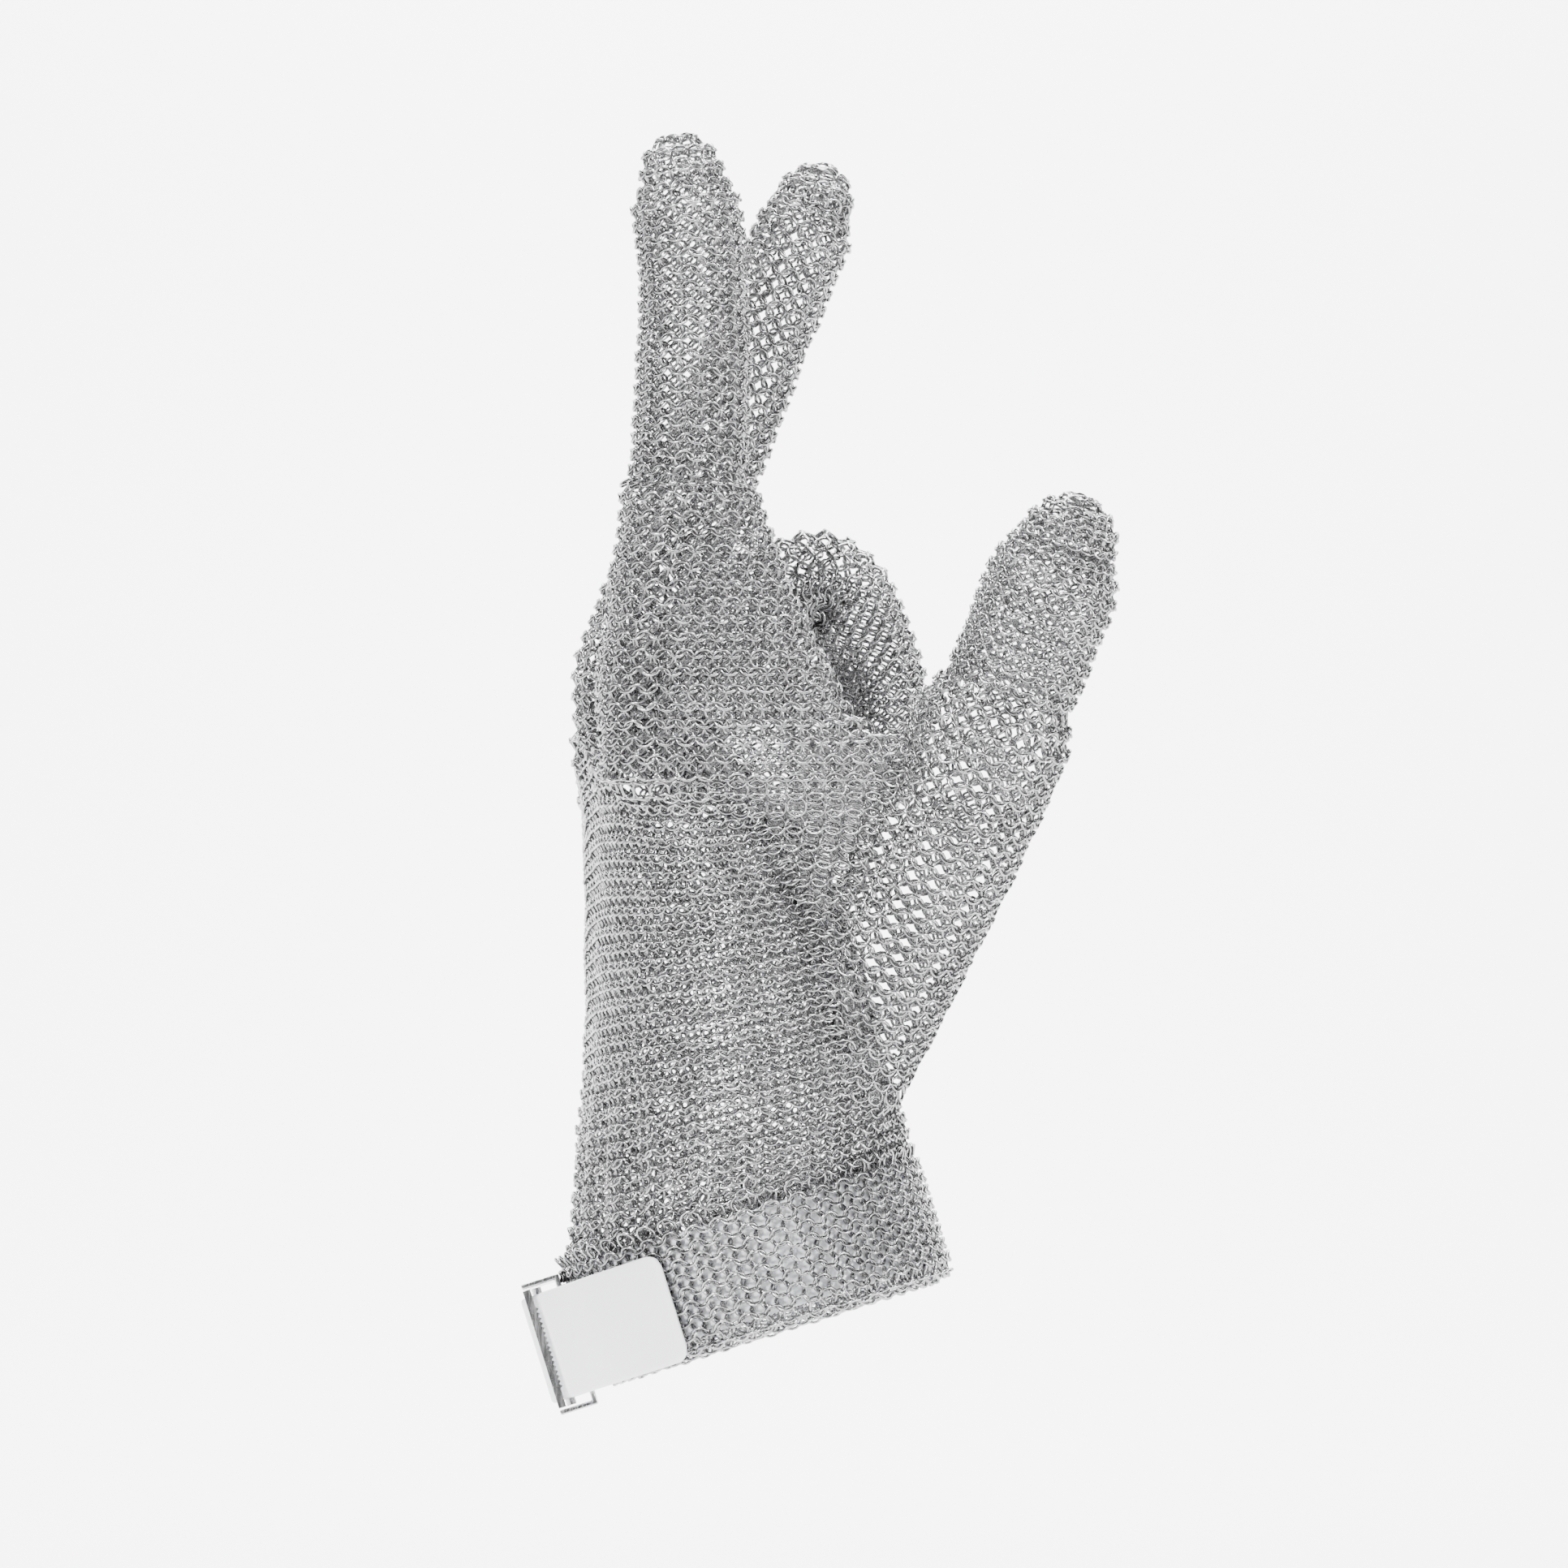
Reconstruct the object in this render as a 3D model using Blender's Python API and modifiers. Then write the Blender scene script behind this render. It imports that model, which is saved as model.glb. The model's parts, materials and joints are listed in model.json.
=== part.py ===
"""Chain mail butcher's glove for a left hand, posed as on the hand, with a strap and buckle cuff.

The frame: +X points out of the palm, +Y towards the little finger, +Z up the forearm to the
fingers, and the origin is the centre of the wrist opening's lower rim. Lengths are in metres.
The mail is modelled as hollow sleeves with the thickness of the ring fabric.
"""

import math

import bmesh
import bpy
from mathutils import Matrix, Vector

MM = 0.001

# Mail fabric
MAIL = 1.8 * MM
GAP = 0.35 * MM
KNUCKLE_GAP = 0.9 * MM
SIDES = 16

# Cuff: a slightly tilted loop, higher on the palm side and lower on the little finger side
CUFF_TILT_PALM = math.radians(16.5)
CUFF_TILT_ULNAR = math.radians(8.0)
CUFF_HALF_X = 33.8 * MM
CUFF_HALF_Y = 36.0 * MM
CUFF_SQUARENESS = 2.1
CUFF_HEIGHT = 22.0 * MM
CUFF_LAYER = 1.3 * MM
STRAP_THICKNESS = 1.3 * MM
STRAP_WIDTH = 19.5 * MM
STRAP_BAND_WIDTH = 18.5 * MM
RIM_HEIGHT = 1.6 * MM
CUFF_SIDES = 32
CUFF_FRAME = (
    Matrix.Rotation(-CUFF_TILT_ULNAR, 4, "X") @ Matrix.Rotation(-CUFF_TILT_PALM, 4, "Y")
)

# Buckle: a pressed channel on the back of the wrist, with the strap running through it
BUCKLE_ANGLE = 172.0
BUCKLE_HEIGHT = 24.4 * MM
BUCKLE_LENGTH = 19.0 * MM
BUCKLE_DEPTH = 7.0 * MM
BUCKLE_SHEET = 0.9 * MM
BUCKLE_STAND_OFF = 0.4 * MM
BUCKLE_DROP = 3.0 * MM
BAR_WIDTH = 1.4 * MM
BAR_THICKNESS = 1.1 * MM
BAR_TOOTH_PITCH = 0.9 * MM
BAR_TOOTH_HEIGHT = 0.5 * MM
BAR_TOOTH_COUNT = 17
PIN_RADIUS = 0.9 * MM
PIN_OUT = 4.6 * MM
PIN_ALONG = 4.9 * MM
RIVET_RADIUS = 2.2 * MM
RIVET_HEIGHT = 0.8 * MM
RIVET_ALONG = -4.3 * MM
ROUND_SIDES = 20

# Strap paths outside the hem: in the buckle's frame as (along, out), in millimetres, and
# round the cuff as (angle in degrees, distance outside the hem)
LEAD_ROUND_CUFF = ((204.0, 1.05), (199.0, 1.2), (194.0, 2.0))
LEAD_IN_BUCKLE = ((10.5, 1.9), (8.5, 2.0), (4.5, 2.1))
FOLD_IN_BUCKLE = (
    (3.7, 2.1), (2.5, 3.2), (2.3, 5.2), (3.5, 7.0), (5.3, 7.1), (6.3, 5.8), (7.2, 4.7), (8.4, 3.95),
    (10.0, 3.75),
)
TAIL_IN_BUCKLE = ((10.8, 3.75), (11.6, 3.7), (12.6, 3.6))
TAIL_ROUND_CUFF = ((196.5, 3.3), (205.0, 2.85), (216.0, 1.9), (226.0, 1.6), (234.5, 1.5))
TAIL_ROUNDING = 2.6 * MM
TAIL_NARROWING = 3.2 * MM
# Just under 1, so that the last row of the tail keeps some width
TAIL_END_SHARE = 0.98
PATH_STEPS = 4

# Hand: height, centre X, half thickness and half width of the mail round the hand
HAND_SECTIONS = (
    (36.0, -6.0, 28.0, 37.0),
    (58.0, -8.8, 24.8, 39.0),
    (78.0, -12.4, 21.2, 40.5),
    (94.0, -17.2, 16.6, 41.0),
    (107.0, -23.6, 10.5, 41.5),
)
HAND_SQUARENESS = 2.5
HAND_SIDES = 36
KNUCKLE_TOP = 116.6 * MM
KNUCKLE_TOP_Y = -18.0 * MM
KNUCKLE_FALL = 5.7
KNUCKLE_CLEARANCE = 12.6 * MM
PANEL_SPLIT = 56.0 * MM
PANEL_STEPS = 6
WRIST_STEPS = 3
# Under 1, so that the wrist tube widens early on its way up to the hand
WRIST_EASE = 0.6
# Heights of the rows of the solid hand that other pieces are cut with, in millimetres
HAND_FORM_HEIGHTS = (30.0, 58.0, 78.0, 94.0, 104.0)

# Fingers: knuckle position, bend at each knuckle in degrees, phalanx lengths, and the radius
# at the knuckles and at the tip. The second radius is taken across the finger.
FINGERS = {
    "index": {
        "knuckle": (-25.0, -31.5, 116.0),
        "bends": (7.0, -6.5, -6.0),
        "lengths": (46.0, 27.0, 24.0),
        "radii": (11.0, 10.4, 9.8, 8.2),
    },
    "middle": {
        "knuckle": (-29.4, -10.2, 116.0),
        "bends": (22.0, 0.0, 0.0),
        "lengths": (48.0, 29.0, 24.0),
        "radii": (10.0, 9.6, 9.3, 7.6),
    },
    "ring": {
        "knuckle": (-27.3, 11.0, 111.5),
        "bends": (54.0, 100.0, 36.0),
        "lengths": (48.0, 27.0, 22.0),
        "radii": (9.8, 9.3, 8.8, 7.4),
    },
    "little": {
        "knuckle": (-24.6, 30.5, 104.0),
        "bends": (60.0, 95.0, 35.0),
        "lengths": (37.0, 22.0, 20.0),
        "radii": (9.0, 8.4, 8.0, 7.0),
    },
}
FINGER_NARROWING = 0.97
# How far each sleeve stops short of its knuckle, in knuckle radii, so that it can flex
KNUCKLE_SETBACK = (0.98, 1.36, 0.62)
SMALL_TURN = math.radians(0.5)
# The length of a finger's centre line that is drawn below its knuckle
BELOW_KNUCKLE = 20.0 * MM
BEND_STEPS = 6
TIP_ROW_ANGLES = (30.0, 55.0, 76.0)

# Thumb: base, knuckle, joint and tip, with the radius at each
THUMB_POINTS = ((8.7, -19.5, 50.0), (26.6, -42.0, 96.0), (36.7, -50.0, 121.4), (45.3, -55.0, 147.6))
THUMB_RADII = (13.4, 13.7, 12.3, 9.2)
THUMB_SETBACK = (0.6, 0.75)
# Where the opening from the palm into the thumb starts, as a share of the thumb's first length
THUMB_ROOT_SHARE = 0.24
THUMB_GUSSET_STEPS = 4
# The thumb flexes in a plane square to this
THUMB_ACROSS = (1.0, 0.0, -0.45)
SHARP_ANGLE = math.radians(40.0)

STEEL = ("mail_steel", (0.72, 0.72, 0.73, 1.0), 1.0, 0.3)
POLISHED = ("buckle_steel", (0.78, 0.78, 0.79, 1.0), 1.0, 0.12)
PLASTIC = ("strap_plastic", (0.86, 0.88, 0.93, 1.0), 0.0, 0.35)


def clear_scene():
    """Removes whatever the new file starts with."""
    for obj in list(bpy.data.objects):
        bpy.data.objects.remove(obj)


def new_collection(name):
    """A collection linked to the scene."""
    collection = bpy.data.collections.new(name)
    bpy.context.scene.collection.children.link(collection)
    return collection


def material(spec):
    """One Principled material from (name, colour, metallic, roughness)."""
    name, colour, metallic, roughness = spec
    found = bpy.data.materials.get(name)
    if found:
        return found
    made = bpy.data.materials.new(name)
    made.use_nodes = True
    shader = made.node_tree.nodes["Principled BSDF"]
    shader.inputs["Base Color"].default_value = colour
    shader.inputs["Metallic"].default_value = metallic
    shader.inputs["Roughness"].default_value = roughness
    made.diffuse_color = colour
    return made


def to_object(bm, name, spec, collection, smooth=True):
    """Turns a bmesh into a named object with its material."""
    bmesh.ops.recalc_face_normals(bm, faces=bm.faces)
    mesh = bpy.data.meshes.new(name)
    bm.to_mesh(mesh)
    bm.free()
    if smooth:
        mesh.shade_smooth()
        mesh.set_sharp_from_angle(angle=SHARP_ANGLE)
    obj = bpy.data.objects.new(name, mesh)
    obj.data.materials.append(material(spec))
    collection.objects.link(obj)
    return obj


def bridge(bm, lower, upper, closed=True):
    """Quads between two rows of vertices."""
    count = len(lower)
    for i in range(count if closed else count - 1):
        j = (i + 1) % count
        bm.faces.new((lower[i], lower[j], upper[j], upper[i]))


def solidify(obj, thickness):
    """Gives an open surface its thickness, inwards from the surface that was drawn."""
    shell = obj.modifiers.new("thickness", "SOLIDIFY")
    shell.thickness = thickness
    shell.offset = -1.0
    shell.use_even_offset = True
    shell.use_rim = True


def loft(name, rings, spec, collection, thickness, closed=True, tip=None):
    """A shell through rows of points, closed round its axis or not, with a pole at the tip."""
    bm = bmesh.new()
    rows = [[bm.verts.new(p) for p in ring] for ring in rings]
    for lower, upper in zip(rows, rows[1:]):
        bridge(bm, lower, upper, closed)
    if tip is not None:
        pole = bm.verts.new(tip)
        last = rows[-1]
        for i, vertex in enumerate(last):
            bm.faces.new((vertex, last[(i + 1) % len(last)], pole))
    face_outwards(bm, rings)
    obj = finish_surface(bm, name, spec, collection)
    solidify(obj, thickness)
    return obj


def face_outwards(bm, rings):
    """Turns an open surface's faces away from the middle of its first row."""
    middle = sum(rings[0], Vector()) / len(rings[0])
    bm.normal_update()
    bm.faces.ensure_lookup_table()
    first = bm.faces[len(rings[0]) // 2]
    if (first.calc_center_median() - middle).dot(first.normal) < 0.0:
        bmesh.ops.reverse_faces(bm, faces=bm.faces)


def finish_surface(bm, name, spec, collection):
    """Turns an open bmesh into an object and leaves its faces as they point."""
    mesh = bpy.data.meshes.new(name)
    bm.to_mesh(mesh)
    bm.free()
    mesh.shade_smooth()
    obj = bpy.data.objects.new(name, mesh)
    obj.data.materials.append(material(spec))
    collection.objects.link(obj)
    return obj


class Route:
    """A finger's centre line: straight phalanges joined by an arc at each knuckle.

    setbacks are the lengths that each arc takes off the straight parts on both of its sides.
    """

    def __init__(self, points, radii, setbacks, across):
        self.points = points
        self.radii = radii
        self.setbacks = setbacks
        self.across = across

    def direction(self, i):
        """The unit vector along phalanx i."""
        return (self.points[i + 1] - self.points[i]).normalized()

    def station(self, i, distance):
        """The frame on phalanx i, at a distance past its first point."""
        tangent = self.direction(i)
        length = (self.points[i + 1] - self.points[i]).length
        share = distance / length
        radius = self.radii[i] * (1.0 - share) + self.radii[i + 1] * share
        return self.points[i] + tangent * distance, tangent, radius

    def ring(self, place, tangent, radius):
        """A closed row of points round the centre line."""
        across = (self.across - tangent * self.across.dot(tangent)).normalized()
        forward = across.cross(tangent)
        row = []
        for k in range(SIDES):
            turn = 2.0 * math.pi * k / SIDES
            side = across * (math.sin(turn) * FINGER_NARROWING)
            row.append(place + (forward * math.cos(turn) + side) * radius)
        return row

    def straight(self, i, start, end, steps=2):
        """Rows along phalanx i from start to end."""
        return [
            self.ring(*self.station(i, start + (end - start) * k / steps)) for k in range(steps + 1)
        ]

    def bend(self, i, leg):
        """Rows round knuckle i, along an arc that starts and ends a leg away from it."""
        length = (self.points[i] - self.points[i - 1]).length
        first, before, first_radius = self.station(i - 1, length - leg)
        last_radius = self.station(i, leg)[2]
        turn = before.angle(self.direction(i))
        axis = before.cross(self.direction(i)).normalized()
        arc_radius = leg / math.tan(turn / 2.0) if turn > SMALL_TURN else 0.0
        centre = first + axis.cross(before) * arc_radius
        rows = []
        for k in range(BEND_STEPS + 1):
            share = k / BEND_STEPS
            spin = Matrix.Rotation(turn * share, 3, axis) if arc_radius else Matrix.Identity(3)
            place = centre + spin @ (first - centre)
            if not arc_radius:
                place = first + before * leg * 2.0 * share
            radius = first_radius * (1.0 - share) + last_radius * share
            rows.append(self.ring(place, spin @ before, radius))
        return rows

    def tip(self, i, start, end):
        """Rows that close over a fingertip, and the pole."""
        dome = self.radii[i + 1]
        rows = self.straight(i, start, end - dome)
        place, tangent, radius = self.station(i, end - dome)
        for angle in TIP_ROW_ANGLES:
            turn = math.radians(angle)
            spot = place + tangent * dome * math.sin(turn)
            rows.append(self.ring(spot, tangent, radius * math.cos(turn)))
        return rows, place + tangent * dome


def mm_vector(values):
    """A vector from millimetres."""
    return Vector(values) * MM


def finger_points(finger):
    """The knuckles and the tip of a finger, from its bends."""
    points = [mm_vector(finger["knuckle"])]
    turn = 0.0
    for bend, length in zip(finger["bends"], finger["lengths"]):
        turn += math.radians(bend)
        points.append(points[-1] + Vector((math.sin(turn), 0.0, math.cos(turn))) * length * MM)
    return points


def make_finger(name, finger, collection):
    """Three rigid sleeves and the three stretches of mail that flex between them."""
    points = finger_points(finger)
    below = points[0] - Vector((0.0, 0.0, BELOW_KNUCKLE))
    radii = [r * MM for r in finger["radii"]]
    route = Route([below] + points, [radii[0]] + radii, KNUCKLE_SETBACK, Vector((0.0, 1.0, 0.0)))
    back = [radii[k] * KNUCKLE_SETBACK[k] for k in range(3)]
    lengths = [length * MM for length in finger["lengths"]]
    labels = ("knuckle", "joint", "end_joint")
    for k, label in enumerate(labels):
        rows = route.bend(k + 1, back[k] - KNUCKLE_GAP)
        loft(f"{name}_{label}_mail", rows, STEEL, collection, MAIL)
    for k, label in enumerate(("lower", "middle")):
        rows = route.straight(k + 1, back[k], lengths[k] - back[k + 1])
        loft(f"{name}_{label}_sleeve", rows, STEEL, collection, MAIL)
    rows, pole = route.tip(3, back[2], lengths[2])
    loft(f"{name}_tip_sleeve", rows, STEEL, collection, MAIL, tip=pole)


def thumb_route():
    """The thumb's centre line, with across square to the way it flexes."""
    points = [mm_vector(p) for p in THUMB_POINTS]
    radii = [r * MM for r in THUMB_RADII]
    return Route(points, radii, THUMB_SETBACK, Vector(THUMB_ACROSS))


def make_thumb(collection):
    """The thumb's two moving sleeves and the mail that flexes at its two joints."""
    route = thumb_route()
    lengths = [(b - a).length for a, b in zip(route.points, route.points[1:])]
    back = [route.radii[k + 1] * THUMB_SETBACK[k] for k in range(2)]
    for k, label in enumerate(("knuckle", "joint")):
        rows = route.bend(k + 1, back[k] - KNUCKLE_GAP)
        loft(f"thumb_{label}_mail", rows, STEEL, collection, MAIL)
    rows = route.straight(1, back[0], lengths[1] - back[1])
    loft("thumb_lower_sleeve", rows, STEEL, collection, MAIL)
    rows, pole = route.tip(2, back[1], lengths[2])
    loft("thumb_tip_sleeve", rows, STEEL, collection, MAIL, tip=pole)


def superellipse(turn, half_x, half_y, power):
    """A point on a rounded rectangle, by its angle."""
    c = math.cos(turn)
    s = math.sin(turn)
    x = math.copysign(abs(c) ** (2.0 / power), c) * half_x
    y = math.copysign(abs(s) ** (2.0 / power), s) * half_y
    return x, y


def hand_section(height):
    """Centre X, half thickness and half width of the hand's mail at a height."""
    heights = [row[0] * MM for row in HAND_SECTIONS]
    if height <= heights[0]:
        return [v * MM for v in HAND_SECTIONS[0][1:]]
    for k in range(len(heights) - 1):
        if height <= heights[k + 1]:
            share = (height - heights[k]) / (heights[k + 1] - heights[k])
            low = HAND_SECTIONS[k][1:]
            high = HAND_SECTIONS[k + 1][1:]
            return [(a * (1.0 - share) + b * share) * MM for a, b in zip(low, high)]
    return [v * MM for v in HAND_SECTIONS[-1][1:]]


def hand_point(turn, height, grow=0.0):
    """A point on the mail round the hand."""
    centre, half_x, half_y = hand_section(height)
    x, y = superellipse(turn, half_x + grow, half_y + grow, HAND_SQUARENESS)
    return Vector((centre + x, y, height))


def knuckle_height(y):
    """How high the mail of the hand reaches under the finger at this Y."""
    return KNUCKLE_TOP - KNUCKLE_FALL * (y - KNUCKLE_TOP_Y) ** 2 - KNUCKLE_CLEARANCE


def cuff_top_height(x, y):
    """The height of the cuff's upper edge at this X and Y."""
    top = CUFF_FRAME @ Vector((0.0, 0.0, CUFF_HEIGHT + GAP))
    up = (CUFF_FRAME.to_3x3() @ Vector((0.0, 0.0, 1.0))).normalized()
    return top.z - (up.x * (x - top.x) + up.y * (y - top.y)) / up.z


def wrist_rows(grow=0.0):
    """Rows from the cuff's upper edge to where the palm and back panels start."""
    inset = CUFF_LAYER - grow
    rows = []
    for k in range(WRIST_STEPS + 1):
        share = k / WRIST_STEPS
        row = []
        for i in range(HAND_SIDES):
            turn = 2.0 * math.pi * i / HAND_SIDES
            x, y = superellipse(turn, CUFF_HALF_X - inset, CUFF_HALF_Y - inset, CUFF_SQUARENESS)
            low = Vector((x, y, cuff_top_height(x, y)))
            high = hand_point(turn, PANEL_SPLIT - GAP + grow, grow)
            ease = share ** WRIST_EASE
            row.append(
                Vector((low.x + (high.x - low.x) * ease, low.y + (high.y - low.y) * ease,
                        low.z + (high.z - low.z) * share))
            )
        rows.append(row)
    return rows


def panel_rows(start, end, grow=0.0):
    """Rows round the hand from the panels' lower edge up to under the fingers."""
    rows = []
    for k in range(PANEL_STEPS + 1):
        share = k / PANEL_STEPS
        row = []
        for i in range(start, end + 1):
            turn = 2.0 * math.pi * i / HAND_SIDES
            base = hand_point(turn, PANEL_SPLIT, grow)
            top = knuckle_height(hand_point(turn, KNUCKLE_TOP - KNUCKLE_CLEARANCE, grow).y)
            height = base.z + (top - base.z) * share
            row.append(hand_point(turn, height, grow))
        rows.append(row)
    return rows


def trim_edge(rows, amount):
    """Draws a panel's two long edges in along its own surface."""
    for row in rows:
        first = row[1] - row[0]
        last = row[-2] - row[-1]
        row[0] = row[0] + first.normalized() * amount
        row[-1] = row[-1] + last.normalized() * amount
    return rows


def loft_solid(bm, rings):
    """A closed solid through closed rows, with flat ends."""
    rows = [[bm.verts.new(p) for p in ring] for ring in rings]
    for lower, upper in zip(rows, rows[1:]):
        bridge(bm, lower, upper)
    bm.faces.new(rows[0])
    bm.faces.new(rows[-1])


def make_cutter(name, rings, collection):
    """A closed solid that other pieces are cut with."""
    bm = bmesh.new()
    loft_solid(bm, rings)
    obj = to_object(bm, name, STEEL, collection, smooth=False)
    obj.hide_render = True
    obj.display_type = "WIRE"
    return obj


def cut(obj, cutter):
    """Takes the cutter away from the object."""
    boolean = obj.modifiers.new("cut_" + cutter.name, "BOOLEAN")
    boolean.operation = "DIFFERENCE"
    boolean.solver = "EXACT"
    boolean.object = cutter


def hand_form_rings(grow):
    """Closed rows of the whole hand, for cutting what meets it."""
    rows = []
    for height in HAND_FORM_HEIGHTS:
        rows.append(
            [hand_point(2.0 * math.pi * i / HAND_SIDES, height * MM, grow) for i in range(HAND_SIDES)]
        )
    return rows


def make_hand(collection, cutters):
    """The wrist tube, the palm and back panels, and the gusset that leads into the thumb."""
    wrist = loft("wrist_mail", wrist_rows(), STEEL, collection, MAIL)
    quarter = HAND_SIDES // 4
    palm_rows = trim_edge(panel_rows(-quarter, quarter), GAP)
    palm = loft("palm_panel", palm_rows, STEEL, collection, MAIL, closed=False)
    back_rows = trim_edge(panel_rows(quarter, 3 * quarter), GAP)
    loft("back_panel", back_rows, STEEL, collection, MAIL, closed=False)

    route = thumb_route()
    length = (route.points[1] - route.points[0]).length
    end = length - route.radii[1] * THUMB_SETBACK[0]
    rows = route.straight(0, 0.0, end, THUMB_GUSSET_STEPS)
    gusset = loft("thumb_gusset", rows, STEEL, collection, MAIL)
    hand_cutter = make_cutter("hand_form", hand_form_rings(GAP), cutters)
    cut(gusset, hand_cutter)
    cut(gusset, make_cutter("wrist_form", wrist_rows(GAP), cutters))

    inner = Route(route.points, [r - MAIL - GAP for r in route.radii], route.setbacks, route.across)
    opening = inner.straight(0, THUMB_ROOT_SHARE * length, end)
    thumb_cutter = make_cutter("thumb_form", opening, cutters)
    cut(palm, thumb_cutter)
    cut(wrist, thumb_cutter)


def cuff_band(name, inset, low, high, thickness, spec, collection):
    """A closed band round the wrist, between two heights above the cuff's lower rim."""
    bm = bmesh.new()
    loops = []
    for depth, height in ((0.0, low), (0.0, high), (thickness, high), (thickness, low)):
        loop = []
        half_x = CUFF_HALF_X - inset - depth
        half_y = CUFF_HALF_Y - inset - depth
        for i in range(CUFF_SIDES):
            turn = 2.0 * math.pi * i / CUFF_SIDES
            x, y = superellipse(turn, half_x, half_y, CUFF_SQUARENESS)
            loop.append(bm.verts.new(CUFF_FRAME @ Vector((x, y, height))))
        loops.append(loop)
    for k in range(4):
        bridge(bm, loops[k], loops[(k + 1) % 4])
    return to_object(bm, name, spec, collection)


def make_cuff(collection):
    """The folded hem of mail and the strap inside it."""
    cuff_band("cuff_outer_layer", 0.0, RIM_HEIGHT + GAP, CUFF_HEIGHT, CUFF_LAYER, STEEL, collection)
    strap_inset = CUFF_LAYER + GAP
    low = RIM_HEIGHT + GAP * 2.0
    high = low + STRAP_BAND_WIDTH
    cuff_band("strap_band", strap_inset, low, high, STRAP_THICKNESS, PLASTIC, collection)
    inner_inset = strap_inset + STRAP_THICKNESS + GAP
    cuff_band(
        "cuff_inner_layer", inner_inset, RIM_HEIGHT + GAP, CUFF_HEIGHT, CUFF_LAYER, STEEL, collection
    )
    depth = inner_inset + CUFF_LAYER
    cuff_band("cuff_folded_rim", 0.0, 0.0, RIM_HEIGHT, depth, STEEL, collection)


def cuff_outline(degrees, out):
    """A point in the cuff's plane, outside the hem at an angle."""
    turn = math.radians(degrees)
    return Vector(superellipse(turn, CUFF_HALF_X + out, CUFF_HALF_Y + out, CUFF_SQUARENESS))


def buckle_middle():
    """How high the middle of the buckle lies above the cuff's lower rim."""
    return (RIM_HEIGHT + CUFF_HEIGHT) / 2.0 - BUCKLE_DROP


def buckle_base():
    """The buckle's base in the cuff's plane, and its directions out from and round the wrist."""
    place = cuff_outline(BUCKLE_ANGLE, BUCKLE_STAND_OFF)
    turn = math.radians(BUCKLE_ANGLE)
    return place, Vector((math.cos(turn), math.sin(turn))), Vector((-math.sin(turn), math.cos(turn)))


def buckle_frame():
    """The buckle's own frame: X out from the wrist, Y round it, Z across the strap."""
    place = buckle_base()[0]
    middle = Vector((place.x, place.y, buckle_middle()))
    turn = Matrix.Rotation(math.radians(BUCKLE_ANGLE), 4, "Z")
    return CUFF_FRAME @ Matrix.Translation(middle) @ turn


def in_buckle(along, out):
    """A point in the cuff's plane, from the buckle's own directions, in millimetres."""
    place, outwards, around = buckle_base()
    return place + around * along * MM + outwards * out * MM


def smooth_path(points):
    """A Catmull-Rom curve through points in a plane."""
    padded = [points[0] * 2.0 - points[1]] + list(points) + [points[-1] * 2.0 - points[-2]]
    path = []
    for p0, p1, p2, p3 in zip(padded, padded[1:], padded[2:], padded[3:]):
        for k in range(PATH_STEPS):
            t = k / PATH_STEPS
            straight = p1 * 2.0 + (p2 - p0) * t
            curve = (p0 * 2.0 - p1 * 5.0 + p2 * 4.0 - p3) * t * t
            twist = (p1 * 3.0 - p0 - p2 * 3.0 + p3) * t * t * t
            path.append((straight + curve + twist) * 0.5)
    path.append(points[-1])
    return path


def end_rounding(distance, length):
    """How much narrower the strap is on each side, this far before its rounded end."""
    if distance >= TAIL_ROUNDING:
        return 0.0
    share = 1.0 - distance / TAIL_ROUNDING
    return TAIL_NARROWING * (1.0 - math.sqrt(1.0 - share * share * TAIL_END_SHARE))


def strap_strip(name, points, collection, rounded=False):
    """A length of strap that stands across the cuff's plane along a path."""
    path = smooth_path(points)
    middle = buckle_middle()
    lengths = [(b - a).length for a, b in zip(path, path[1:])]
    bm = bmesh.new()
    rows = []
    for k, point in enumerate(path):
        step = path[min(k + 1, len(path) - 1)] - path[max(k - 1, 0)]
        normal = Vector((step.y, -step.x)).normalized() * STRAP_THICKNESS / 2.0
        half = STRAP_WIDTH / 2.0
        if rounded:
            half -= end_rounding(sum(lengths[k:]), sum(lengths))
        row = []
        for side, height in ((1.0, -half), (1.0, half), (-1.0, half), (-1.0, -half)):
            spot = point + normal * side
            row.append(bm.verts.new(CUFF_FRAME @ Vector((spot.x, spot.y, middle + height))))
        rows.append(row)
    for low, high in zip(rows, rows[1:]):
        bridge(bm, low, high)
    bm.faces.new(rows[0])
    bm.faces.new(rows[-1])
    return to_object(bm, name, PLASTIC, collection)


def channel_outline(depth, half, wall):
    """A channel's section, open away from the wrist, as (out, across)."""
    return (
        (0.0, -half),
        (depth, -half),
        (depth, -half + wall),
        (wall, -half + wall),
        (wall, half - wall),
        (depth, half - wall),
        (depth, half),
        (0.0, half),
    )


def extrude_outline(name, outline, start, end, frame, spec, collection):
    """A solid from an outline in X and Z, carried along Y."""
    bm = bmesh.new()
    low = [bm.verts.new(frame @ Vector((x, start, z))) for x, z in outline]
    high = [bm.verts.new(frame @ Vector((x, end, z))) for x, z in outline]
    bridge(bm, low, high)
    bm.faces.new(low)
    bm.faces.new(high)
    return to_object(bm, name, spec, collection, smooth=False)


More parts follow.
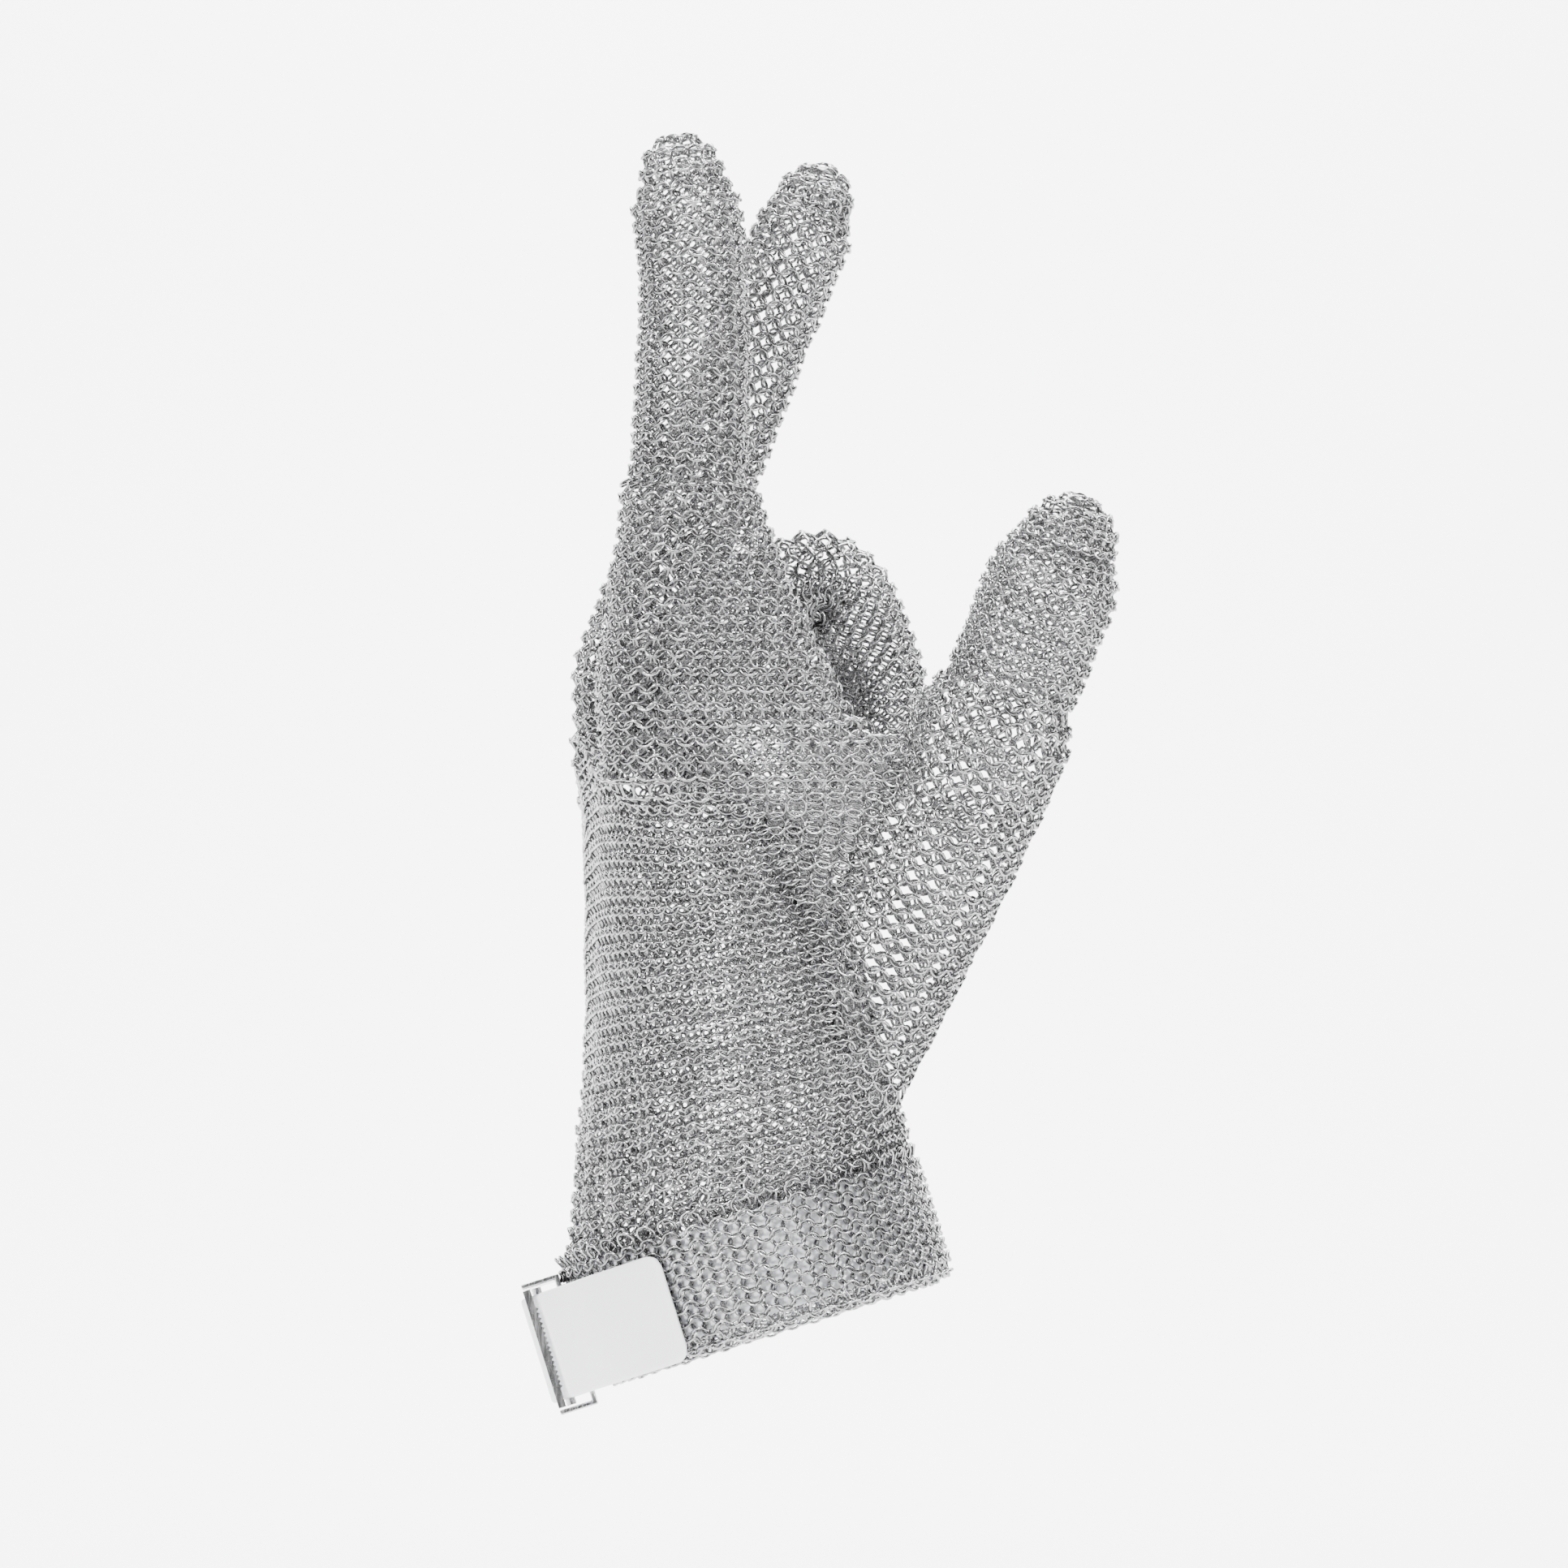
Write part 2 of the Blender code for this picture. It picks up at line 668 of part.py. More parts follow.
def toothed_outline(base, half):
    """The clamp bar's section as (out, across), with a row of teeth that bite into the strap."""
    points = [(base + BAR_WIDTH, -half), (base, -half)]
    start = -BAR_TOOTH_PITCH * BAR_TOOTH_COUNT / 2.0
    for k in range(BAR_TOOTH_COUNT):
        points.append((base, start + BAR_TOOTH_PITCH * k))
        points.append((base - BAR_TOOTH_HEIGHT, start + BAR_TOOTH_PITCH * (k + 0.5)))
    points.append((base, start + BAR_TOOTH_PITCH * BAR_TOOTH_COUNT))
    points.append((base, half))
    points.append((base + BAR_WIDTH, half))
    return points


def round_bar(name, radius, length, place, spec, collection):
    """A cylinder along its place's Z."""
    bm = bmesh.new()
    bmesh.ops.create_cone(
        bm, cap_ends=True, segments=ROUND_SIDES, radius1=radius, radius2=radius, depth=length,
        matrix=place,
    )
    return to_object(bm, name, spec, collection)


def make_buckle(collection):
    """The channel with its toothed bar, pin and rivet, and the strap that folds round the pin."""
    frame = buckle_frame()
    half = BUCKLE_HEIGHT / 2.0
    reach = BUCKLE_LENGTH / 2.0
    outline = channel_outline(BUCKLE_DEPTH, half, BUCKLE_SHEET)
    extrude_outline("buckle_frame", outline, -reach, reach, frame, POLISHED, collection)

    inside = half - BUCKLE_SHEET - GAP
    bar = toothed_outline(BUCKLE_DEPTH - BAR_WIDTH, inside)
    extrude_outline("toothed_bar", bar, reach - BAR_THICKNESS, reach, frame, POLISHED, collection)

    pin_place = Matrix.Translation((PIN_OUT, PIN_ALONG, 0.0))
    round_bar("buckle_pin", PIN_RADIUS, inside * 2.0, frame @ pin_place, POLISHED, collection)

    rivet_out = BUCKLE_SHEET + GAP + RIVET_HEIGHT / 2.0
    lie_flat = Matrix.Rotation(math.radians(90.0), 4, "Y")
    rivet_place = Matrix.Translation((rivet_out, RIVET_ALONG, 0.0)) @ lie_flat
    round_bar("strap_rivet", RIVET_RADIUS, RIVET_HEIGHT, frame @ rivet_place, POLISHED, collection)

    lead = [cuff_outline(a, out * MM) for a, out in LEAD_ROUND_CUFF]
    lead += [in_buckle(along, out) for along, out in LEAD_IN_BUCKLE]
    strap_strip("strap_lead", lead, collection)
    strap_strip("strap_fold", [in_buckle(along, out) for along, out in FOLD_IN_BUCKLE], collection)
    tail = [in_buckle(along, out) for along, out in TAIL_IN_BUCKLE]
    tail += [cuff_outline(a, out * MM) for a, out in TAIL_ROUND_CUFF]
    strap_strip("strap_tail", tail, collection, rounded=True)


def main():
    """Builds the glove."""
    clear_scene()
    glove = new_collection("chain_mail_glove")
    cutters = new_collection("cutters")
    make_hand(glove, cutters)
    for name, finger in FINGERS.items():
        make_finger(name, finger, glove)
    make_thumb(glove)
    make_cuff(glove)
    make_buckle(glove)


main()
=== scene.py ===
"""Looks of the chain mail glove: linked rings, a plastic strap and a steel buckle.

The frame: +X points out of the palm, +Y towards the little finger and +Z up to the fingers.
Lengths are in metres. The mail is European 4-in-1: every ring passes through four neighbours.
"""

import json
import math

import bmesh
import bpy
import numpy as np
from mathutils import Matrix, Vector


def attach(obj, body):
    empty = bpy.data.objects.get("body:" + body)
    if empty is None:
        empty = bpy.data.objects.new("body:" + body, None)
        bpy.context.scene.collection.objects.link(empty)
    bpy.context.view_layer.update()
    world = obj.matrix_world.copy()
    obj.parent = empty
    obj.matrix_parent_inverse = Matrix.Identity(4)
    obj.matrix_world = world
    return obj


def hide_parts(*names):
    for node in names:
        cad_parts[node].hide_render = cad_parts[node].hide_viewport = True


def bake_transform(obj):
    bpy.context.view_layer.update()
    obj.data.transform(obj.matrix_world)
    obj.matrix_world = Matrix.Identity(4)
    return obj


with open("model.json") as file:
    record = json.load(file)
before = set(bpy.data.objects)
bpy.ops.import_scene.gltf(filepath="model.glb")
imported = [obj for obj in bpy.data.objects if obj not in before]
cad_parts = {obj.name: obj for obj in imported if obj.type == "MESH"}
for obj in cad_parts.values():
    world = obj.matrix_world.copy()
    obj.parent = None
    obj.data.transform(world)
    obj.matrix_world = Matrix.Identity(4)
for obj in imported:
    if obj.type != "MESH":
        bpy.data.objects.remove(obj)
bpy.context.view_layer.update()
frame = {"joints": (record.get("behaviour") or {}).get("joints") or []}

MM = 0.001

# Rings: welded stainless wire
RING_RADIUS = 1.7 * MM
WIRE_RADIUS = 0.28 * MM
RING_SEGMENTS = 14
WIRE_SEGMENTS = 5
RING_TILT = math.radians(27.0)
ROW_STEP = 1.52 * MM
RING_STEP = 3.4 * MM
MAIL_DEPTH = 1.05 * MM
JITTER_TURN = math.radians(2.0)
JITTER_PLACE = 0.04 * MM
CUFF_DEPTH_SHARE = 0.6
# How much closer the rows lie where a finger bends, and the rings over a fingertip
BEND_PACKING = 0.45
DOME_PACKING = 0.92
SEED = 616
RINGS_PER_PIECE = 1000

JOINTS = {joint["name"]: joint for joint in frame["joints"]}
FINGERS = ("index", "middle", "ring", "little")
FINGER_RADII = {
    "index": (11.0, 10.4, 9.8, 7.8),
    "middle": (10.0, 9.6, 9.2, 7.2),
    "ring": (9.8, 9.3, 8.8, 7.4),
    "little": (9.0, 8.4, 8.0, 7.0),
}
# How far each fingertip turns in the palm's direction from the middle phalanx, in degrees
TIP_BEND = {"index": -8.0, "middle": 0.0, "ring": 36.0, "little": 35.0}
TIP_LENGTH = {"index": 23.3, "middle": 22.8, "ring": 22.0, "little": 20.0}
# A finger's mail starts this far below its knuckle, narrower and slanting out of the palm
FINGER_BASE_SLANT = 0.27
FINGER_BASE_SHARE = 0.82
FINGER_DEPTH_BELOW = {"index": 5.0, "middle": 15.0, "ring": 15.0, "little": 15.0}
# The web's rings cover the index finger below this length along its centre line
INDEX_START = 39.5 * MM
THUMB_BASE = (8.7, -19.5, 50.0)
THUMB_TIP = (45.3, -55.0, 147.6)
THUMB_RADII = (13.8, 14.6, 12.0, 9.0)
THUMB_ACROSS = (1.0, 0.0, -0.45)
FINGER_ACROSS = (0.0, 1.0, 0.0)
# A knuckle's corner is rounded over this share of the shorter phalanx beside it
CORNER_SHARE = 0.42
CORNER_STEPS = 7
# A finger's mail is narrowed at its sides to this share of its radius
FINGER_NARROWING = 0.97

# Web of mail from the thumb's root to the index finger. Each row is a height, then X, Y and
# radius where the web ends on the thumb's side, then X, Y and radius where it ends on the
# finger's side
WEB = np.array((
    (64.0, 14.0, -28.0, 8.0, -4.0, -26.0, 8.0),
    (80.0, 19.0, -34.5, 9.0, -6.0, -24.0, 8.0),
    (92.0, 20.0, -39.0, 7.0, -16.0, -26.5, 9.0),
    (99.0, 19.0, -40.5, 6.0, -24.5, -31.4, 9.9),
    (104.5, 14.0, -40.0, 6.0, -25.0, -31.5, 9.9),
    (107.5, 6.5, -38.5, 5.5, -25.0, -31.5, 9.9),
    (112.0, 1.2, -36.5, 5.5, -25.2, -31.5, 9.9),
    (120.7, -3.4, -34.5, 6.0, -24.4, -31.5, 9.8),
    (128.0, -7.5, -33.2, 6.8, -23.5, -31.5, 9.7),
    (136.4, -11.6, -32.2, 7.7, -22.5, -31.5, 9.6),
    (143.6, -15.2, -31.5, 8.5, -21.6, -31.5, 9.5),
    (151.0, -18.2, -31.5, 9.3, -20.7, -31.5, 9.4),
)) * MM
WEB_TOP = 150.0 * MM
WEB_BOTTOM = 64.0 * MM
BLEND = 1.4 * MM

# Where two stretches of mail meet: how far past the seam each one's rings are kept, and how far
# a ring may be moved on to the surface
SEAM_OVERLAP = 0.8 * MM
DRAPE_LIMIT = 2.4 * MM
DRAPE_STEPS = 4
DRAPE_STEP_LIMIT = 3.0 * MM
DRAPE_ERROR = 0.5 * MM
LEAST_STEEPNESS = 0.2

# Loose folds in the worn mail
RIPPLE_HEIGHT = 0.25 * MM
WRIST_FOLD_HEIGHT = 0.8 * MM
WRIST_FOLDS = 19
WRIST_FOLD_REACH = 52.0 * MM

# Hand: height, centre X, half thickness and half width
HAND_SECTIONS = np.array((
    (36.0, -6.0, 28.0, 37.0),
    (58.0, -8.8, 24.8, 39.0),
    (78.0, -12.4, 21.2, 40.5),
    (94.0, -17.2, 16.6, 41.0),
    (107.0, -23.6, 10.5, 41.5),
)) * MM
HAND_POWER = 2.5
HAND_RINGS = 73
HAND_ROWS = 58
LID_ROWS = 6
# The hand's mail is highest here and falls away with the square of the distance in Y
KNUCKLE_TOP = 116.6 * MM
KNUCKLE_TOP_Y = -18.0 * MM
KNUCKLE_FALL = 5.7
KNUCKLE_CLEARANCE = 7.5 * MM
# The wrist's mail joins the hand's form at the level height, and is all its own below the free one
LEVEL_HEIGHT = 58.0 * MM
FREE_HEIGHT = 36.0 * MM
WRIST_EASE = 0.55
WRIST_INSET = 2.2 * MM

# Cuff
CUFF_TILT_PALM = math.radians(16.5)
CUFF_TILT_ULNAR = math.radians(8.0)
CUFF_HALF_X = 33.8 * MM
CUFF_HALF_Y = 36.0 * MM
CUFF_HEIGHT = 22.0 * MM
CUFF_POWER = 2.1
CUFF_RINGS = 46
CUFF_ROW_STEP = 1.25 * MM
CUFF_INNER_INSET = 4.6 * MM
RIM_HEIGHT = 1.6 * MM

# Strap: in the buckle's frame as (along, out), in millimetres, and round the cuff as
# (angle in degrees, distance outside the hem)
STRAP_THICKNESS = 1.3 * MM
STRAP_WIDTH = 19.5 * MM
STRAP_BAND_WIDTH = 18.5 * MM
STRAP_BAND_INSET = 1.65 * MM
STRAP_BAND_LOW = 2.3 * MM
LEAD_ROUND_CUFF = ((204.0, 1.05), (199.0, 1.2), (194.0, 2.0))
STRAP_IN_BUCKLE = (
    (10.5, 1.9), (8.5, 2.0), (4.5, 2.1), (3.7, 2.1), (2.5, 3.2), (2.3, 5.2), (3.5, 7.0), (5.3, 7.1),
    (6.3, 5.8), (7.2, 4.7), (8.4, 3.95), (10.0, 3.75), (11.6, 3.7), (12.6, 3.6),
)
TAIL_ROUND_CUFF = ((196.5, 3.3), (205.0, 2.85), (216.0, 1.9), (226.0, 1.6), (234.5, 1.5))
TAIL_CORNER = 2.6 * MM
TAIL_CORNER_DEPTH = 0.9
TAIL_END_SHARE = 0.995
TAIL_THINNING = 0.75
SHARP_ANGLE = math.radians(50.0)

# Buckle
BUCKLE_ANGLE = 172.0
BUCKLE_HEIGHT = 24.4 * MM
BUCKLE_LENGTH = 19.0 * MM
BUCKLE_DEPTH = 7.0 * MM
BUCKLE_SHEET = 0.9 * MM
BUCKLE_STAND_OFF = 0.4 * MM
BUCKLE_DROP = 3.0 * MM
BUCKLE_GAP = 0.35 * MM
BAR_WIDTH = 1.4 * MM
BAR_THICKNESS = 1.1 * MM
BAR_TOOTH_PITCH = 0.9 * MM
BAR_TOOTH_HEIGHT = 0.5 * MM
BAR_TOOTH_COUNT = 17
PIN_RADIUS = 0.9 * MM
PIN_OUT = 4.6 * MM
PIN_ALONG = 4.9 * MM
RIVET_RADIUS = 2.2 * MM
RIVET_HEIGHT = 0.8 * MM
RIVET_ALONG = -4.3 * MM


def rotation(axis, angle):
    """A 3x3 rotation about X, Y or Z."""
    c, s = math.cos(angle), math.sin(angle)
    if axis == "X":
        return np.array(((1, 0, 0), (0, c, -s), (0, s, c)))
    if axis == "Y":
        return np.array(((c, 0, s), (0, 1, 0), (-s, 0, c)))
    return np.array(((c, -s, 0), (s, c, 0), (0, 0, 1)))


CUFF_FRAME = rotation("X", -CUFF_TILT_ULNAR) @ rotation("Y", -CUFF_TILT_PALM)


def unit(v):
    """Rows of vectors at length one."""
    v = np.asarray(v, float)
    return v / np.maximum(np.linalg.norm(v, axis=-1, keepdims=True), 1e-12)


def superellipse(turn, half_x, half_y, power):
    """Points on a rounded rectangle by angle."""
    c, s = np.cos(turn), np.sin(turn)
    x = np.sign(c) * np.abs(c) ** (2.0 / power) * half_x
    y = np.sign(s) * np.abs(s) ** (2.0 / power) * half_y
    return x, y


# ---------------------------------------------------------------- distances to the glove's parts

def cone_distance(p, a, b, ra, rb):
    """Distance from points to a tapered capsule."""
    d = b - a
    t = np.clip(((p - a) @ d) / (d @ d), 0.0, 1.0)
    near = a + t[..., None] * d
    return np.linalg.norm(p - near, axis=-1) - (ra + (rb - ra) * t)


def hand_section(z):
    """Centre X, half thickness and half width of the hand at heights."""
    heights = HAND_SECTIONS[:, 0]
    return [np.interp(z, heights, HAND_SECTIONS[:, k]) for k in (1, 2, 3)]


def hand_top(y):
    """How high the hand's own mail reaches at this Y."""
    return KNUCKLE_TOP - KNUCKLE_FALL * (y - KNUCKLE_TOP_Y) ** 2 - KNUCKLE_CLEARANCE


def hand_distance(p):
    """Roughly the distance from points to the hand's mail."""
    centre, half_x, half_y = hand_section(p[..., 2])
    x = np.abs((p[..., 0] - centre) / half_x)
    y = np.abs(p[..., 1] / half_y)
    ratio = np.maximum((x ** HAND_POWER + y ** HAND_POWER) ** (1.0 / HAND_POWER), 1e-6)
    slope_x = (x / ratio) ** (HAND_POWER - 1.0) / half_x
    slope_y = (y / ratio) ** (HAND_POWER - 1.0) / half_y
    side = (ratio - 1.0) / np.hypot(slope_x, slope_y) + MAIL_DEPTH
    return np.maximum(side, p[..., 2] - hand_top(p[..., 1]))


class Chain:
    """A finger or the thumb: a smooth centre line with a radius along it."""

    def __init__(self, name, points, radii, across):
        self.name = name
        self.points = np.array(points, float)
        self.radii = np.array(radii, float) - MAIL_DEPTH
        self.across = np.array(across, float)
        self.line, self.line_radii = self.smooth()
        steps = np.linalg.norm(np.diff(self.line, axis=0), axis=1)
        self.along = np.concatenate(([0.0], np.cumsum(steps)))
        self.length = self.along[-1]

    def smooth(self):
        """The centre line with its corners rounded, and the radius at each point."""
        line, radii = [self.points[0]], [self.radii[0]]
        for k in range(1, len(self.points) - 1):
            before, corner, after = self.points[k - 1:k + 2]
            leg = CORNER_SHARE * min(np.linalg.norm(corner - before), np.linalg.norm(after - corner))
            a = corner + unit(before - corner) * leg
            b = corner + unit(after - corner) * leg
            for t in np.linspace(0.0, 1.0, CORNER_STEPS):
                line.append((1 - t) ** 2 * a + 2 * t * (1 - t) * corner + t * t * b)
                radii.append(self.radii[k])
        line.append(self.points[-1])
        radii.append(self.radii[-1])
        return np.array(line), np.array(radii)

    def at(self, s):
        """Place, direction and radius at lengths along the centre line."""
        ahead = self.place(s + MM)
        behind = self.place(s - MM)
        return self.place(s), unit(ahead - behind), np.interp(s, self.along, self.line_radii)

    def place(self, s):
        """Points at lengths along the centre line."""
        return np.stack([np.interp(s, self.along, self.line[:, k]) for k in range(3)], -1)

    def curvature(self, s):
        """How fast the centre line turns, in radians a metre."""
        step = 2.0 * MM
        t0 = self.at(max(s - step, 0.0))[1]
        t1 = self.at(min(s + step, self.length))[1]
        return math.acos(float(np.clip(t0 @ t1, -1.0, 1.0))) / (2.0 * step)

    def distance(self, p):
        """Distance from points to the chain."""
        found = np.full(len(p), np.inf)
        last = len(self.line) - 2
        for k in range(len(self.line) - 1):
            start, end = self.line[k], self.line[k + 1]
            if k == last:
                end = end - unit(end - start) * self.radii[-1]
            d = cone_distance(p, start, end, self.line_radii[k], self.line_radii[k + 1])
            found = np.minimum(found, d)
        return found


def finger_chain(name):
    """A finger's chain, from the joints that the frame gives."""
    knuckles = [np.array(JOINTS[f"{name}_{k}"]["pos_m"]) for k in ("knuckle", "joint", "end_joint")]
    along = unit(knuckles[2] - knuckles[1])
    tip = knuckles[2] + rotation("Y", math.radians(TIP_BEND[name])) @ along * TIP_LENGTH[name] * MM
    depth = FINGER_DEPTH_BELOW[name] * MM
    base = knuckles[0] + np.array((FINGER_BASE_SLANT * depth, 0.0, -depth))
    radii = [r * MM for r in FINGER_RADII[name]]
    base_radius = radii[0] * FINGER_BASE_SHARE
    return Chain(name, [base] + knuckles + [tip], [base_radius] + radii, FINGER_ACROSS)


def thumb_chain():
    """The thumb's chain, from inside the palm to its tip."""
    knuckles = [np.array(JOINTS[f"thumb_{k}"]["pos_m"]) for k in ("knuckle", "joint")]
    tip = np.array(THUMB_TIP) * MM
    points = [np.array(THUMB_BASE) * MM] + knuckles + [tip]
    return Chain("thumb", points, [r * MM for r in THUMB_RADII], THUMB_ACROSS)


def web_section(z):
    """Both ends of the web's cross-section at heights, each with its radius."""
    columns = [np.interp(z, WEB[:, 0], WEB[:, k]) for k in range(1, 7)]
    edge = np.stack(columns[0:2], -1)
    back = np.stack(columns[3:5], -1)
    return edge, columns[2], back, columns[5]


def web_distance(p):
    """Roughly the distance from points to the web round the index finger's root."""
    edge, edge_radius, back, back_radius = web_section(p[:, 2])
    across = edge - back
    size = np.maximum(np.sum(across * across, axis=1), 1e-12)
    t = np.clip(np.sum((p[:, :2] - back) * across, axis=1) / size, 0.0, 1.0)
    near = back + t[:, None] * across
    side = np.linalg.norm(p[:, :2] - near, axis=1) - (back_radius + (edge_radius - back_radius) * t)
    ends = np.maximum(p[:, 2] - WEB_TOP, WEB_BOTTOM - p[:, 2])
    return np.maximum(side, ends)


def joined_distance(p, solids):
    """Distance to all the solids with their meetings smoothed."""
    each = np.stack([solid(p) for solid in solids.values()])
    least = each.min(axis=0)
    smooth = least - BLEND * np.log(np.sum(np.exp((least - each) / BLEND), axis=0))
    return smooth - loose_folds(p)


def loose_folds(p):
    """How far the worn mail stands off its smooth form: soft ripples, and upright wrist folds."""
    x, y, z = p.T / MM
    soft = np.sin(0.33 * x + 0.21 * z + 1.7) * np.sin(0.29 * y - 0.17 * z + 0.4)
    turn = np.arctan2(p[:, 1], p[:, 0] - HAND_SECTIONS[0, 1])
    fade = np.clip((WRIST_FOLD_REACH - p[:, 2]) / (WRIST_FOLD_REACH - CUFF_HEIGHT), 0.0, 1.0)
    upright = np.sin(WRIST_FOLDS * turn + 1.3 * np.sin(3.0 * turn)) * fade
    return RIPPLE_HEIGHT * soft + WRIST_FOLD_HEIGHT * upright


def gradient(p, solids):
    """The joined distance at points, and its slope."""
    step = 0.1 * MM
    here = joined_distance(p, solids)
    slope = np.stack([
        (joined_distance(p + np.eye(3)[k] * step, solids) - here) / step for k in range(3)
    ], -1)
    return here, slope


def drape(arrays, own, solids):
    """Lays rings on the joined surface, and keeps those nearest to their own solid.

    Rings low on the wrist stay where they are drawn, on the way out to the cuff's edge.
    """
    centre, row, up, lean = arrays
    drawn = centre
    for _ in range(DRAPE_STEPS):
        here, slope = gradient(centre, solids)
        steep = np.maximum(np.sum(slope * slope, axis=1, keepdims=True), LEAST_STEEPNESS)
        step = np.clip(here, -DRAPE_STEP_LIMIT, DRAPE_STEP_LIMIT)[:, None]
        centre = centre - step * slope / steep
    here, slope = gradient(centre, solids)
    normal = unit(slope)
    row = unit(row - normal * np.sum(row * normal, axis=1, keepdims=True))
    up = np.cross(normal, row)
    others = np.stack([solid(centre) for name, solid in solids.items() if name != own])
    kept = solids[own](centre) < others.min(axis=0) + SEAM_OVERLAP
    moved = np.linalg.norm(centre - drawn, axis=1)
    settled = (np.abs(here) < DRAPE_ERROR) & (moved < DRAPE_LIMIT)
    weight = np.clip((drawn[:, 2] - FREE_HEIGHT) / (LEVEL_HEIGHT - FREE_HEIGHT), 0.0, 1.0)
    kept &= settled | (weight < 1.0)
    free = drawn + normal * loose_folds(drawn)[:, None]
    centre = free + (centre - free) * weight[:, None]
    return [a[kept] for a in (centre, row, up, lean)]


# ---------------------------------------------------------------- laying out the rings

class Rings:
    """Ring centres with their row direction, their way along the fabric and their lean."""

    def __init__(self):
        self.parts = []

    def add(self, centre, row, up, lean):
        """Adds rings: lean is +1 or -1, the way the row tips out of the fabric."""
        self.parts.append((centre, row, up, np.full(len(centre), float(lean))))

    def joined(self):
        """All rings as four arrays."""
        return [np.concatenate([part[k] for part in self.parts]) for k in range(4)]


def chain_rows(chain, start=0.0):
    """Rows of rings round a chain, from its start to its closed tip."""
    rings = Rings()
    across = chain.across
    s, parity = start, 0
    dome_start = chain.length - chain.radii[-1]
    per_row = max(6, round(2 * math.pi * float(np.mean(chain.radii)) / RING_STEP))
    while s < dome_start:
        place, tangent, radius = chain.at(s)
        add_row(rings, place, tangent, radius, across, per_row, parity, 0.0)
        spread = chain.curvature(s) * radius
        s += ROW_STEP / (1.0 + BEND_PACKING * spread)
        parity += 1
    add_dome(rings, chain, dome_start, per_row, parity)
    return rings


def add_row(rings, place, tangent, radius, across, count, parity, slope):
    """One row of rings round the centre line. slope tips the rows inwards over a fingertip."""
    side = unit(across - tangent * (across @ tangent))
    front = np.cross(side, tangent)
    turn = 2 * math.pi * (np.arange(count) + 0.5 * (parity % 2)) / count
    c, s = np.cos(turn)[:, None], np.sin(turn)[:, None]
    outward = front * c + side * s * FINGER_NARROWING
    centre = place + outward * radius
    normal = unit(front * c + side * s)
    row = -front * s + side * c
    up = unit(tangent * math.cos(slope) - normal * math.sin(slope))
    rings.add(centre, unit(row), up, 1 if parity % 2 else -1)


def add_dome(rings, chain, dome_start, per_row, parity):
    """Rows that close over a fingertip, with fewer rings in each."""
    place, tangent, radius = chain.at(dome_start)
    dome = chain.radii[-1]
    rows = int(dome * math.pi / 2 / ROW_STEP)
    for k in range(rows + 1):
        slope = (k / rows) * math.pi / 2
        spot = place + tangent * dome * math.sin(slope)
        around = radius * math.cos(slope)
        count = min(per_row, max(1, round(2 * math.pi * around / (RING_STEP * DOME_PACKING))))
        add_row(rings, spot, tangent, around, chain.across, count, parity + k, slope)


def hand_rows():
    """Rows of rings round the wrist and the hand, from the cuff up to the fingers."""
    rings = Rings()
    for j in range(HAND_ROWS + 1):
        share = j / HAND_ROWS
        turn = even_turns(share, HAND_RINGS, 0.5 * (j % 2))
        here = hand_surface(turn, share)
        ahead = hand_surface(turn, share + 0.01)
        beside = hand_surface(turn + 0.02, share)
        row = unit(beside - here)
        up = ahead - here
        up = unit(up - row * np.sum(up * row, axis=1, keepdims=True))
        rings.add(here, row, up, 1 if j % 2 else -1)
    add_lid(rings)
    return rings


def add_lid(rings):
    """Rows that close the top of the hand between the fingers, each one further in."""
    for k in range(1, LID_ROWS + 1):
        parity = (HAND_ROWS + k) % 2
        turn = even_turns(1.0, HAND_RINGS, 0.5 * parity)
        here = hand_lid(turn, k * ROW_STEP)
        row = unit(hand_lid(turn + 0.02, k * ROW_STEP) - here)
        up = hand_lid(turn, (k + 0.2) * ROW_STEP) - here
        up = unit(up - row * np.sum(up * row, axis=1, keepdims=True))
        rings.add(here, row, up, 1 if parity else -1)


def hand_lid(turn, inset):
    """Points on the top of the hand, a distance in from its rim."""
    rim = hand_surface(turn, 1.0)
    centre, half_x, half_y = hand_section(rim[:, 2])
    x = centre + (rim[:, 0] - centre) * (1.0 - inset / half_x)
    y = rim[:, 1] * (1.0 - inset / half_y)
    return np.stack([x, y, hand_top(y)], -1)


def even_turns(share, count, offset):
    """The angles of equally spaced rings in one row of the hand's mail."""
    turns = np.linspace(0.0, 2 * math.pi, 721)
    steps = np.linalg.norm(np.diff(hand_surface(turns, share), axis=0), axis=1)
    lengths = np.concatenate(([0.0], np.cumsum(steps)))
    return np.interp((np.arange(count) + offset) / count * lengths[-1], lengths, turns)


def cuff_top(turn, inset):
    """Points on the cuff's upper edge."""
    x, y = superellipse(turn, CUFF_HALF_X - inset, CUFF_HALF_Y - inset, CUFF_POWER)
    return np.stack([x, y, np.full_like(x, CUFF_HEIGHT)], -1) @ CUFF_FRAME.T


def hand_surface(turn, share):
    """The hand's mail, from the cuff's upper edge at share 0 to under the fingers at share 1."""
    low = cuff_top(turn, WRIST_INSET)
    side = superellipse(turn, 1.0, HAND_SECTIONS[-1, 3], HAND_POWER)[1]
    top = hand_top(side)
    height = low[:, 2] + (top - low[:, 2]) * share
    centre, half_x, half_y = hand_section(height)
    x, y = superellipse(turn, half_x - MAIL_DEPTH, half_y - MAIL_DEPTH, HAND_POWER)
    risen = np.clip((height - low[:, 2]) / (LEVEL_HEIGHT - low[:, 2]), 0.0, 1.0)
    ease = risen[:, None] ** WRIST_EASE
    body = np.stack([centre + x, y, height], -1)
    foot = np.stack([low[:, 0], low[:, 1], height], -1)
    return foot * (1.0 - ease) + body * ease


